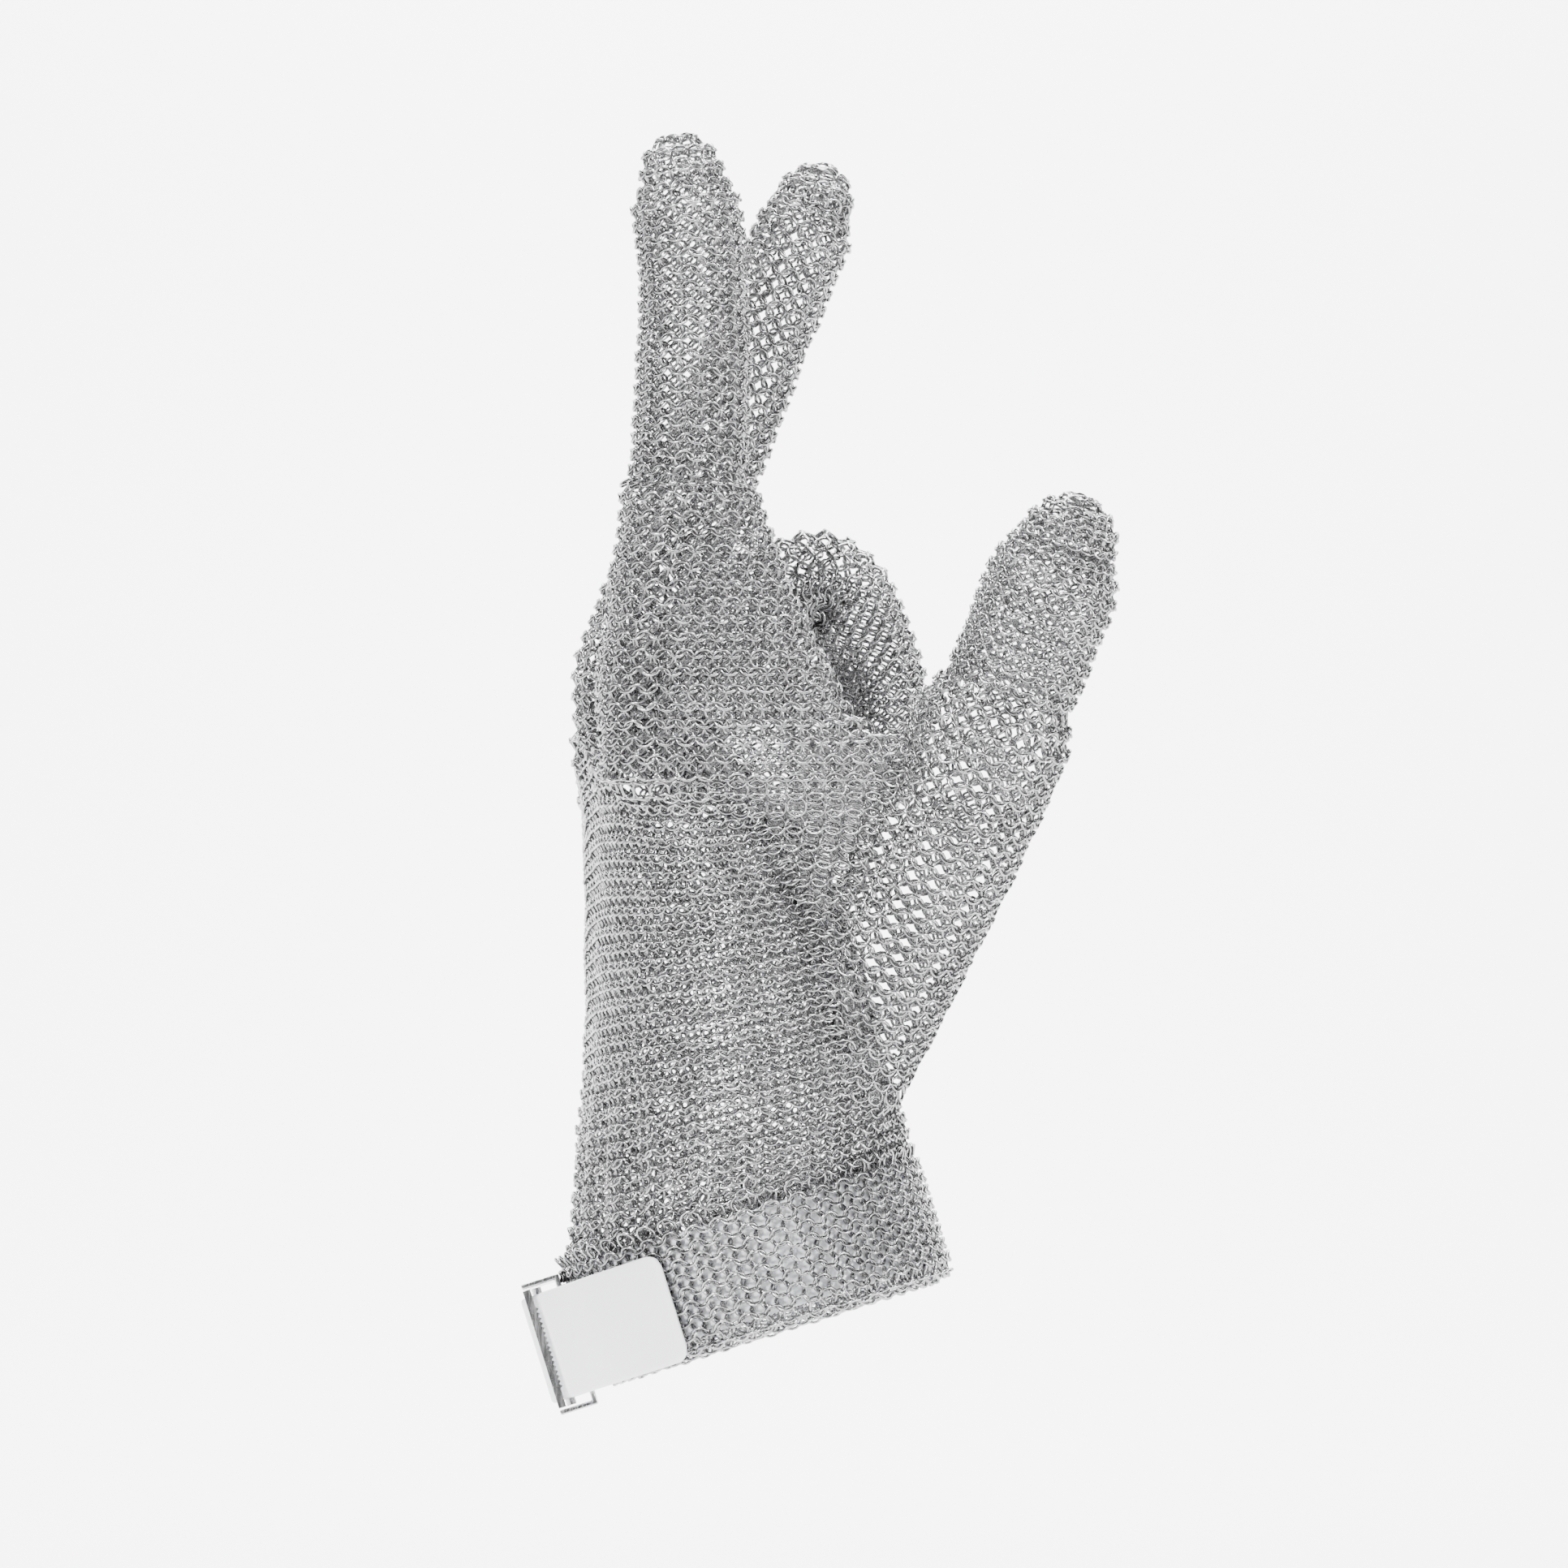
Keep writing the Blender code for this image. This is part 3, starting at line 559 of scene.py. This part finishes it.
def cuff_rows():
    """Rows of rings over the folded hem: up inside, round the fold, and up outside."""
    rings = Rings()
    fold = CUFF_INNER_INSET / 2
    path = []
    for z in np.arange(CUFF_HEIGHT, fold, -CUFF_ROW_STEP):
        path.append((CUFF_INNER_INSET, z, 0.0, -1.0))
    steps = max(2, round(math.pi * fold / CUFF_ROW_STEP))
    for k in range(1, steps):
        angle = math.pi * k / steps
        path.append((fold + fold * math.cos(angle), fold - fold * math.sin(angle),
                     math.sin(angle), -math.cos(angle)))
    for z in np.arange(fold, CUFF_HEIGHT + 0.6 * MM, CUFF_ROW_STEP):
        path.append((0.0, z, 0.0, 1.0))
    for j, (inset, z, out, rise) in enumerate(path):
        turn = 2 * math.pi * (np.arange(CUFF_RINGS) + 0.5 * (j % 2)) / CUFF_RINGS
        inset = inset + MAIL_DEPTH * CUFF_DEPTH_SHARE
        x, y = superellipse(turn, CUFF_HALF_X - inset, CUFF_HALF_Y - inset, CUFF_POWER)
        x2, y2 = superellipse(turn + 0.02, CUFF_HALF_X - inset, CUFF_HALF_Y - inset, CUFF_POWER)
        centre = np.stack([x, y, np.full_like(x, z)], -1)
        row = unit(np.stack([x2 - x, y2 - y, np.zeros_like(x)], -1))
        normal = np.stack([row[:, 1], -row[:, 0], np.zeros_like(x)], -1)
        up = unit(normal * out + np.array((0.0, 0.0, 1.0)) * rise)
        rings.add(centre @ CUFF_FRAME.T, row @ CUFF_FRAME.T, up @ CUFF_FRAME.T, 1 if j % 2 else -1)
    return rings


def web_rows():
    """Level rows round the index finger's root, stretched out along the web to its edge."""
    rings = Rings()
    heights = np.arange(WEB_BOTTOM, WEB_TOP, ROW_STEP)
    for j, z in enumerate(heights):
        outline = web_outline(z)
        sides = np.linalg.norm(np.diff(outline, axis=0), axis=1)
        lengths = np.concatenate(([0.0], np.cumsum(sides)))
        half = lengths[-1] / 2
        steps = np.arange(0.5 * (j % 2), half / RING_STEP) * RING_STEP
        places = np.concatenate((steps, lengths[-1] - steps[steps > 1e-9]))
        x = np.interp(places, lengths, outline[:, 0])
        y = np.interp(places, lengths, outline[:, 1])
        x2 = np.interp(places + 0.2 * MM, lengths, outline[:, 0])
        y2 = np.interp(places + 0.2 * MM, lengths, outline[:, 1])
        row = unit(np.stack([x2 - x, y2 - y, np.zeros_like(x)], -1))
        up = np.broadcast_to(np.array((0.0, 0.0, 1.0)), row.shape)
        rings.add(np.stack([x, y, np.full_like(x, z)], -1), row, up, 1 if j % 2 else -1)
    return rings


def web_outline(z):
    """The web's outline at a height, starting and ending at the back of the finger."""
    edge, edge_radius, back, back_radius = web_section(np.array([z]))
    heading = math.atan2(edge[0, 1] - back[0, 1], edge[0, 0] - back[0, 0])
    arcs = (
        (back[0], back_radius[0], -1.0, -0.5, 9),
        (edge[0], edge_radius[0], -0.5, 0.5, 17),
        (back[0], back_radius[0], 0.5, 1.0, 9),
    )
    points = []
    for centre, radius, start, end, steps in arcs:
        for share in np.linspace(start, end, steps):
            points.append(circle_point(centre, radius, heading + math.pi * share))
    return np.array(points)


def circle_point(centre, radius, angle):
    """A point on a circle."""
    return centre + radius * np.array((math.cos(angle), math.sin(angle)))


def ring_mesh(name, arrays, rng):
    """One mesh of separate welded rings."""
    centre, row, up, lean = arrays
    count = len(centre)
    normal = unit(np.cross(row, up))
    tilt = RING_TILT * lean + rng.normal(0.0, JITTER_TURN, count)
    twist = rng.normal(0.0, JITTER_TURN, count)
    centre = centre + rng.normal(0.0, JITTER_PLACE, (count, 3))
    axis_u = unit(row * np.cos(twist)[:, None] + normal * np.sin(twist)[:, None])
    axis_v = unit(up * np.cos(tilt)[:, None] + normal * np.sin(tilt)[:, None])
    axis_w = unit(np.cross(axis_u, axis_v))
    a = np.arange(RING_SEGMENTS) * 2 * math.pi / RING_SEGMENTS
    b = np.arange(WIRE_SEGMENTS) * 2 * math.pi / WIRE_SEGMENTS
    radial = RING_RADIUS + WIRE_RADIUS * np.cos(b)[None, :]
    local = np.stack([
        np.cos(a)[:, None] * radial,
        np.sin(a)[:, None] * radial,
        np.broadcast_to(WIRE_RADIUS * np.sin(b)[None, :], (RING_SEGMENTS, WIRE_SEGMENTS)),
    ], -1).reshape(-1, 3)
    basis = np.stack([axis_u, axis_v, axis_w], 1)
    points = centre[:, None, :] + np.einsum("vk,nkd->nvd", local, basis)
    i = np.arange(RING_SEGMENTS)[:, None]
    j = np.arange(WIRE_SEGMENTS)[None, :]
    i2, j2 = (i + 1) % RING_SEGMENTS, (j + 1) % WIRE_SEGMENTS
    quad = np.stack([i * WIRE_SEGMENTS + j, i2 * WIRE_SEGMENTS + j,
                     i2 * WIRE_SEGMENTS + j2, i * WIRE_SEGMENTS + j2], -1).reshape(-1, 4)
    per_ring = RING_SEGMENTS * WIRE_SEGMENTS
    faces = (quad[None] + (np.arange(count) * per_ring)[:, None, None]).reshape(-1, 4)
    return quick_mesh(name, points.reshape(-1, 3), faces)


def quick_mesh(name, points, faces):
    """A smooth-shaded quad mesh from arrays, as a linked object."""
    mesh = bpy.data.meshes.new(name)
    mesh.vertices.add(len(points))
    mesh.vertices.foreach_set("co", points.astype(np.float32).ravel())
    mesh.loops.add(len(faces) * 4)
    mesh.loops.foreach_set("vertex_index", faces.astype(np.int32).ravel())
    mesh.polygons.add(len(faces))
    mesh.polygons.foreach_set("loop_start", np.arange(len(faces), dtype=np.int32) * 4)
    mesh.update(calc_edges=True)
    mesh.shade_smooth()
    obj = bpy.data.objects.new(name, mesh)
    bpy.context.scene.collection.objects.link(obj)
    return obj


# ---------------------------------------------------------------- materials

def node_material(name):
    """A material with its nodes, and its Principled shader."""
    made = bpy.data.materials.new(name)
    made.use_nodes = True
    return made, made.node_tree.nodes, made.node_tree.links, made.node_tree.nodes["Principled BSDF"]


def ramp(nodes, links, source, stops):
    """A colour ramp on a value."""
    node = nodes.new("ShaderNodeValToRGB")
    node.color_ramp.elements[0].position = stops[0][0]
    node.color_ramp.elements[0].color = stops[0][1]
    node.color_ramp.elements[1].position = stops[-1][0]
    node.color_ramp.elements[1].color = stops[-1][1]
    for position, colour in stops[1:-1]:
        element = node.color_ramp.elements.new(position)
        element.color = colour
    links.new(source, node.inputs["Fac"])
    return node


def grey(value):
    """A grey colour, a trace blue."""
    return (value, value, value * 1.01, 1.0)


def mail_material():
    """Bright stainless wire: each ring a little different, with fine drawing marks."""
    made, nodes, links, shader = node_material("mail_steel_wire")
    geometry = nodes.new("ShaderNodeNewGeometry")
    tone = ramp(nodes, links, geometry.outputs["Random Per Island"],
                ((0.0, grey(0.26)), (0.5, grey(0.35)), (1.0, grey(0.48))))
    links.new(tone.outputs["Color"], shader.inputs["Base Color"])
    shader.inputs["Metallic"].default_value = 1.0
    texture = nodes.new("ShaderNodeTexNoise")
    texture.inputs["Scale"].default_value = 900.0
    texture.inputs["Detail"].default_value = 2.0
    coords = nodes.new("ShaderNodeTexCoord")
    links.new(coords.outputs["Object"], texture.inputs["Vector"])
    rough = ramp(nodes, links, texture.outputs["Fac"], ((0.3, grey(0.2)), (0.75, grey(0.3))))
    links.new(rough.outputs["Color"], shader.inputs["Roughness"])
    return made


def polished_material():
    """Pressed and polished stainless sheet."""
    made, nodes, links, shader = node_material("buckle_polished_steel")
    shader.inputs["Metallic"].default_value = 1.0
    coords = nodes.new("ShaderNodeTexCoord")
    stretch = nodes.new("ShaderNodeMapping")
    stretch.inputs["Scale"].default_value = (2600.0, 2600.0, 120.0)
    links.new(coords.outputs["Object"], stretch.inputs["Vector"])
    marks = nodes.new("ShaderNodeTexNoise")
    marks.inputs["Scale"].default_value = 1.0
    links.new(stretch.outputs["Vector"], marks.inputs["Vector"])
    rough = ramp(nodes, links, marks.outputs["Fac"], ((0.3, grey(0.2)), (0.8, grey(0.34))))
    links.new(rough.outputs["Color"], shader.inputs["Roughness"])
    tone = ramp(nodes, links, marks.outputs["Fac"], ((0.2, grey(0.52)), (0.8, grey(0.64))))
    links.new(tone.outputs["Color"], shader.inputs["Base Color"])
    return made


def strap_material():
    """Smooth white flexible plastic, a little blue, with faint moulding ripples."""
    made, nodes, links, shader = node_material("strap_white_plastic")
    coords = nodes.new("ShaderNodeTexCoord")
    cloud = nodes.new("ShaderNodeTexNoise")
    cloud.inputs["Scale"].default_value = 160.0
    links.new(coords.outputs["Object"], cloud.inputs["Vector"])
    tone = ramp(nodes, links, cloud.outputs["Fac"],
                ((0.3, (0.9, 0.92, 0.96, 1.0)), (0.7, (0.95, 0.96, 0.99, 1.0))))
    links.new(tone.outputs["Color"], shader.inputs["Base Color"])
    rough = ramp(nodes, links, cloud.outputs["Fac"], ((0.3, grey(0.3)), (0.7, grey(0.42))))
    links.new(rough.outputs["Color"], shader.inputs["Roughness"])
    shader.inputs["Subsurface Weight"].default_value = 0.25
    shader.inputs["Subsurface Radius"].default_value = (0.002, 0.002, 0.0024)
    shader.inputs["Coat Weight"].default_value = 0.2
    return made


def studio_material():
    """The white sweep."""
    made, _, _, shader = node_material("studio_white")
    shader.inputs["Base Color"].default_value = (0.93, 0.93, 0.935, 1.0)
    shader.inputs["Roughness"].default_value = 0.9
    return made


# ---------------------------------------------------------------- pieces

def chain_piece(name, arrays, rng, material, nodes):
    """A stretch of mail that lies across one joint."""
    obj = ring_mesh(name, arrays, rng)
    obj.data.materials.append(material)
    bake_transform(obj)
    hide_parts(*nodes)


def build_chain(chain, labels, solids, rng, material, node_sets, start=0.0):
    """A finger's or the thumb's mail, as one piece for each joint that it crosses."""
    arrays = drape(chain_rows(chain, start).joined(), chain.name, solids)
    joints = [np.array(JOINTS[f"{chain.name}_{label}"]["pos_m"]) for label in labels]
    shares = nearest_share(chain, arrays[0])
    marks = [nearest_share(chain, p[None])[0] for p in joints]
    limits = [-1.0] + [(a + b) / 2 for a, b in zip(marks, marks[1:])] + [chain.length + 1.0]
    for k, label in enumerate(labels):
        chosen = (shares >= limits[k]) & (shares < limits[k + 1])
        if not chosen.any():
            continue
        part = [a[chosen] for a in arrays]
        chain_piece(
            f"{chain.name}_{label}_rings", part, rng, material,
            node_sets[k],
        )


def nearest_share(chain, points):
    """How far along a chain's centre line each point lies."""
    gaps = np.linalg.norm(points[:, None, :] - chain.line[None], axis=2)
    fine = chain.along[np.argmin(gaps, axis=1)]
    best = np.full(len(points), np.inf)
    share = fine.copy()
    for k in range(len(chain.line) - 1):
        a, b = chain.line[k], chain.line[k + 1]
        d = b - a
        size = d @ d
        if size < 1e-14:
            continue
        t = np.clip((points - a) @ d / size, 0.0, 1.0)
        gap = np.linalg.norm(points - (a + t[:, None] * d), axis=1)
        closer = gap < best
        best = np.where(closer, gap, best)
        share = np.where(closer, chain.along[k] + t * math.sqrt(size), share)
    return share


def build_mail(material):
    """Every stretch of ring mail."""
    rng = np.random.default_rng(SEED)
    chains = {name: finger_chain(name) for name in FINGERS}
    chains["thumb"] = thumb_chain()
    solids = {name: chain.distance for name, chain in chains.items()}
    solids["hand"] = hand_distance
    solids["web"] = web_distance

    hand = drape(hand_rows().joined(), "hand", solids)
    add_sectors("hand_rings", hand, rng, material, ("wrist_mail", "palm_panel", "back_panel"))
    add_sectors(
        "cuff_rings", cuff_rows().joined(), rng, material,
        ("cuff_outer_layer", "cuff_inner_layer", "cuff_folded_rim"),
    )

    for name in FINGERS:
        build_chain(
            chains[name], ("knuckle", "joint", "end_joint"),
            solids, rng, material,
            ((f"{name}_knuckle_mail", f"{name}_lower_sleeve"),
             (f"{name}_joint_mail", f"{name}_middle_sleeve"),
             (f"{name}_end_joint_mail", f"{name}_tip_sleeve")),
            INDEX_START if name == "index" else 0.0,
        )
    build_chain(
        chains["thumb"], ("knuckle", "joint"), solids, rng,
        material,
        (("thumb_gusset", "thumb_knuckle_mail", "thumb_lower_sleeve"),
         ("thumb_joint_mail", "thumb_tip_sleeve")),
    )
    web = drape(web_rows().joined(), "web", solids)
    piece = ring_mesh("web_rings", web, rng)
    piece.data.materials.append(material)
    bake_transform(piece)
    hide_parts("index_knuckle_mail", "index_lower_sleeve")


def add_sectors(name, arrays, rng, material, nodes):
    """Mail that rides on the hand, as pieces of equal size from back to front."""
    order = np.argsort(np.arctan2(arrays[0][:, 1], arrays[0][:, 0]), kind="stable")
    pieces = math.ceil(len(order) / RINGS_PER_PIECE)
    for k, chosen in enumerate(np.array_split(order, pieces)):
        piece = ring_mesh(f"{name}_{k}", [a[chosen] for a in arrays], rng)
        piece.data.materials.append(material)
        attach(piece, "hand")
        if k == 0:
            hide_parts(*nodes)


def cuff_outline(degrees, out):
    """A point in the cuff's plane, outside the hem at an angle."""
    turn = math.radians(degrees)
    return np.array(superellipse(turn, CUFF_HALF_X + out, CUFF_HALF_Y + out, CUFF_POWER))


def buckle_directions():
    """The buckle's base in the cuff's plane, and its directions out from and round the wrist."""
    turn = math.radians(BUCKLE_ANGLE)
    out = np.array((math.cos(turn), math.sin(turn)))
    around = np.array((-math.sin(turn), math.cos(turn)))
    return cuff_outline(BUCKLE_ANGLE, BUCKLE_STAND_OFF), out, around


def in_buckle(along, out):
    """A point in the cuff's plane, from the buckle's own directions, in millimetres."""
    place, outwards, around = buckle_directions()
    return place + around * along * MM + outwards * out * MM


def buckle_middle():
    """How high the middle of the buckle lies above the cuff's lower rim."""
    return (RIM_HEIGHT + CUFF_HEIGHT) / 2.0 - BUCKLE_DROP


def on_cuff(points):
    """Points from the cuff's own frame to the row frame."""
    return np.asarray(points) @ CUFF_FRAME.T


def smooth_path(points, steps=10):
    """A Catmull-Rom curve through points in a plane."""
    points = [np.array(point, float) for point in points]
    padded = [points[0] * 2 - points[1]] + points + [points[-1] * 2 - points[-2]]
    path = []
    for p0, p1, p2, p3 in zip(padded, padded[1:], padded[2:], padded[3:]):
        for k in range(steps):
            t = k / steps
            curve = p1 * 2 + (p2 - p0) * t + (p0 * 2 - p1 * 5 + p2 * 4 - p3) * t * t
            path.append((curve + (p1 * 3 - p0 - p2 * 3 + p3) * t ** 3) * 0.5)
    path.append(points[-1])
    return np.array(path)


def strap_section(half_width, half_thickness):
    """The strap's rounded section, as (across its face, through its thickness)."""
    points = []
    edge = half_width - half_thickness
    for side in (1.0, -1.0):
        for k in range(7):
            angle = math.pi / 2 - math.pi * k / 6
            x = side * (edge + half_thickness * math.cos(angle))
            points.append((x, side * half_thickness * math.sin(angle)))
    return np.array(points)


def strap_mesh(name, path, middle, closed):
    """A strap on edge along a path in the cuff's plane: a closed band, or one with a rounded end."""
    ahead = np.roll(path, -1, axis=0)
    behind = np.roll(path, 1, axis=0)
    if not closed:
        ahead[-1], behind[0] = path[-1], path[0]
    step = unit(ahead - behind)
    outward = np.stack([step[:, 1], -step[:, 0]], -1)
    sides = np.linalg.norm(np.diff(path, axis=0), axis=1)
    left = np.concatenate((np.cumsum(sides[::-1])[::-1], [0.0]))
    rows = []
    for k, point in enumerate(path):
        half = (STRAP_BAND_WIDTH if closed else STRAP_WIDTH) / 2.0
        thick = STRAP_THICKNESS / 2.0
        if not closed and left[k] < TAIL_CORNER:
            share = 1.0 - left[k] / TAIL_CORNER
            drop = 1.0 - math.sqrt(1.0 - share * share * TAIL_END_SHARE)
            half -= TAIL_CORNER * TAIL_CORNER_DEPTH * drop
            thick *= math.sqrt(1.0 - TAIL_THINNING * share ** 6)
        section = strap_section(half, thick)
        spot = point[None] + outward[k][None] * section[:, 1:2]
        rows.append(np.concatenate((spot, middle + section[:, 0:1]), axis=1))
    points = on_cuff(np.array(rows).reshape(-1, 3))
    size, count = len(rows[0]), len(rows)
    faces = []
    for k in range(count if closed else count - 1):
        for i in range(size):
            j, n = (i + 1) % size, (k + 1) % count
            faces.append((k * size + i, k * size + j, n * size + j, n * size + i))
    mesh = bpy.data.meshes.new(name)
    if not closed:
        faces.append(tuple(range(size))[::-1])
        faces.append(tuple(range((count - 1) * size, count * size)))
    mesh.from_pydata(points.tolist(), [], faces)
    return shaded(name, mesh)


def shaded(name, mesh):
    """A linked object of a mesh with its faces turned outwards and its shading smooth."""
    bm = bmesh.new()
    bm.from_mesh(mesh)
    bmesh.ops.recalc_face_normals(bm, faces=bm.faces)
    bm.to_mesh(mesh)
    bm.free()
    mesh.shade_smooth()
    mesh.set_sharp_from_angle(angle=SHARP_ANGLE)
    obj = bpy.data.objects.new(name, mesh)
    bpy.context.scene.collection.objects.link(obj)
    return obj


def build_strap(material):
    """The plastic strap: the band in the hem, then the lead, the fold and the tail as one length."""
    turns = np.linspace(0.0, 360.0, 181)[:-1]
    inset = STRAP_BAND_INSET + STRAP_THICKNESS / 2.0
    ring = np.array([cuff_outline(turn, -inset) for turn in turns])
    band_middle = STRAP_BAND_LOW + STRAP_BAND_WIDTH / 2.0
    band = strap_mesh("strap_in_hem", ring, band_middle, closed=True)
    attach(band, "hand")
    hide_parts("strap_band")

    points = [cuff_outline(turn, out * MM) for turn, out in LEAD_ROUND_CUFF]
    points += [in_buckle(along, out) for along, out in STRAP_IN_BUCKLE]
    points += [cuff_outline(turn, out * MM) for turn, out in TAIL_ROUND_CUFF]
    path = smooth_path(points)
    tail = strap_mesh("strap_through_buckle", path, buckle_middle(), closed=False)
    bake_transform(tail)
    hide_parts("strap_lead", "strap_fold", "strap_tail")
    for piece in (band, tail):
        piece.data.materials.append(material)


def buckle_points(points):
    """Points from the buckle's frame (out, along, across) to the row frame."""
    place, out, around = buckle_directions()
    points = np.asarray(points, float)
    flat = place + points[:, 0:1] * out + points[:, 1:2] * around
    return on_cuff(np.concatenate((flat, points[:, 2:3] + buckle_middle()), axis=1))


def steel_piece(name, bm, material, node, soft):
    """A polished steel piece with softened edges, from a mesh in the buckle's frame."""
    bmesh.ops.recalc_face_normals(bm, faces=bm.faces)
    sharp = [edge for edge in bm.edges if edge.calc_face_angle(0.0) > math.radians(30.0)]
    bmesh.ops.bevel(bm, geom=sharp, offset=soft, segments=3, profile=0.5, affect="EDGES")
    moved = buckle_points([vertex.co for vertex in bm.verts])
    for vertex, place in zip(bm.verts, moved):
        vertex.co = place
    mesh = bpy.data.meshes.new(name)
    bm.to_mesh(mesh)
    bm.free()
    obj = shaded(name, mesh)
    weighted = obj.modifiers.new("weighted_normals", "WEIGHTED_NORMAL")
    weighted.keep_sharp = True
    mesh.materials.append(material)
    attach(obj, "hand")
    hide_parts(node)


def extruded(outline, start, end):
    """A solid from an outline in (out, across), carried along the buckle."""
    bm = bmesh.new()
    low = [bm.verts.new((x, start, z)) for x, z in outline]
    high = [bm.verts.new((x, end, z)) for x, z in outline]
    for k in range(len(outline)):
        n = (k + 1) % len(outline)
        bm.faces.new((low[k], low[n], high[n], high[k]))
    bm.faces.new(low)
    bm.faces.new(high)
    return bm


def build_buckle(material):
    """The channel, its toothed bar, pin and rivet."""
    half, reach, wall = BUCKLE_HEIGHT / 2.0, BUCKLE_LENGTH / 2.0, BUCKLE_SHEET
    channel = (
        (0.0, -half), (BUCKLE_DEPTH, -half), (BUCKLE_DEPTH, -half + wall), (wall, -half + wall),
        (wall, half - wall), (BUCKLE_DEPTH, half - wall), (BUCKLE_DEPTH, half), (0.0, half),
    )
    body = extruded(channel, -reach, reach)
    steel_piece("buckle_channel", body, material, "buckle_frame", 0.25 * MM)

    inside = half - wall - BUCKLE_GAP
    bar = extruded(toothed_outline(BUCKLE_DEPTH - BAR_WIDTH, inside), reach - BAR_THICKNESS, reach)
    steel_piece("clamp_bar", bar, material, "toothed_bar", 0.06 * MM)

    pin = bmesh.new()
    bmesh.ops.create_cone(pin, cap_ends=True, segments=32, radius1=PIN_RADIUS, radius2=PIN_RADIUS,
                          depth=inside * 2.0)
    bmesh.ops.translate(pin, verts=pin.verts, vec=(PIN_OUT, PIN_ALONG, 0.0))
    steel_piece("hinge_pin", pin, material, "buckle_pin", 0.1 * MM)

    rivet = bmesh.new()
    bmesh.ops.create_uvsphere(rivet, u_segments=32, v_segments=16, radius=1.0)
    rivet_out = BUCKLE_SHEET + BUCKLE_GAP + RIVET_HEIGHT / 2.0
    for vertex in rivet.verts:
        x, y, z = vertex.co
        out = rivet_out + z * RIVET_HEIGHT / 2.0
        vertex.co = (out, RIVET_ALONG + y * RIVET_RADIUS, x * RIVET_RADIUS)
    steel_piece("rivet_head", rivet, material, "strap_rivet", 0.02 * MM)


def toothed_outline(base, half):
    """The clamp bar's section as (out, across), with a row of teeth that bite into the strap."""
    points = [(base + BAR_WIDTH, -half), (base, -half)]
    start = -BAR_TOOTH_PITCH * BAR_TOOTH_COUNT / 2.0
    for k in range(BAR_TOOTH_COUNT):
        points.append((base, start + BAR_TOOTH_PITCH * k))
        points.append((base - BAR_TOOTH_HEIGHT, start + BAR_TOOTH_PITCH * (k + 0.5)))
    points.append((base, start + BAR_TOOTH_PITCH * BAR_TOOTH_COUNT))
    points.append((base, half))
    points.append((base + BAR_WIDTH, half))
    return points


def build_studio():
    """A white sweep."""
    reach, drop, height = 1.6, -0.12, 1.6
    bend, steps = 0.5, 12
    profile = [(-2.2, drop)]
    for k in range(steps + 1):
        angle = math.pi / 2 * k / steps
        profile.append((reach - bend + bend * math.sin(angle), drop + bend - bend * math.cos(angle)))
    profile.append((reach, height))
    turn = rotation("Z", math.radians(-9.0))
    points, faces = [], []
    for y, z in profile:
        for x in (-2.5, 2.5):
            points.append(turn @ np.array((x, y, z)))
    for k in range(len(profile) - 1):
        faces.append((2 * k, 2 * k + 1, 2 * k + 3, 2 * k + 2))
    sweep = quick_mesh("studio_sweep", np.array(points), np.array(faces))
    sweep.data.materials.append(studio_material())


def area_lamp(name, place, target, size, power):
    """A square soft lamp aimed at a point."""
    data = bpy.data.lights.new(name, "AREA")
    data.size = size
    data.energy = power
    lamp = bpy.data.objects.new(name, data)
    lamp.location = place
    lamp.rotation_euler = (Vector(target) - Vector(place)).to_track_quat("-Z", "Y").to_euler()
    bpy.context.scene.collection.objects.link(lamp)


def build_lights():
    """Soft studio light from both sides and above, with a white world."""
    target = (0.0, 0.0, 0.1)
    area_lamp("key", (-0.8, -0.9, 0.7), target, 0.22, 30.0)
    area_lamp("fill", (0.9, -0.8, 0.2), target, 0.22, 15.0)
    area_lamp("top", (0.0, -0.2, 1.1), target, 0.3, 17.0)
    area_lamp("backdrop", (0.1, 0.7, 1.3), (0.15, 1.6, 0.2), 1.2, 150.0)
    world = bpy.data.worlds.new("studio")
    world.use_nodes = True
    background = world.node_tree.nodes["Background"]
    background.inputs["Color"].default_value = (1.0, 1.0, 1.0, 1.0)
    background.inputs["Strength"].default_value = 0.08
    bpy.context.scene.world = world


def build_camera():
    """The camera, square on to the thumb side and turned a little towards the back of the hand."""
    turn = math.radians(9.0)
    toward = Vector((math.sin(turn), math.cos(turn), 0.0))
    aim = Vector((-0.003, -0.0302, 0.0984))
    distance = 1.1
    field = 0.276
    data = bpy.data.cameras.new("camera")
    data.sensor_width = 36.0
    data.lens = 36.0 * distance / field
    data.clip_start = 0.01
    camera = bpy.data.objects.new("camera", data)
    camera.location = aim - toward * distance
    camera.rotation_euler = toward.to_track_quat("-Z", "Y").to_euler()
    bpy.context.scene.collection.objects.link(camera)
    bpy.context.scene.camera = camera


build_camera()
build_studio()
build_lights()
build_mail(mail_material())
build_strap(strap_material())
build_buckle(polished_material())
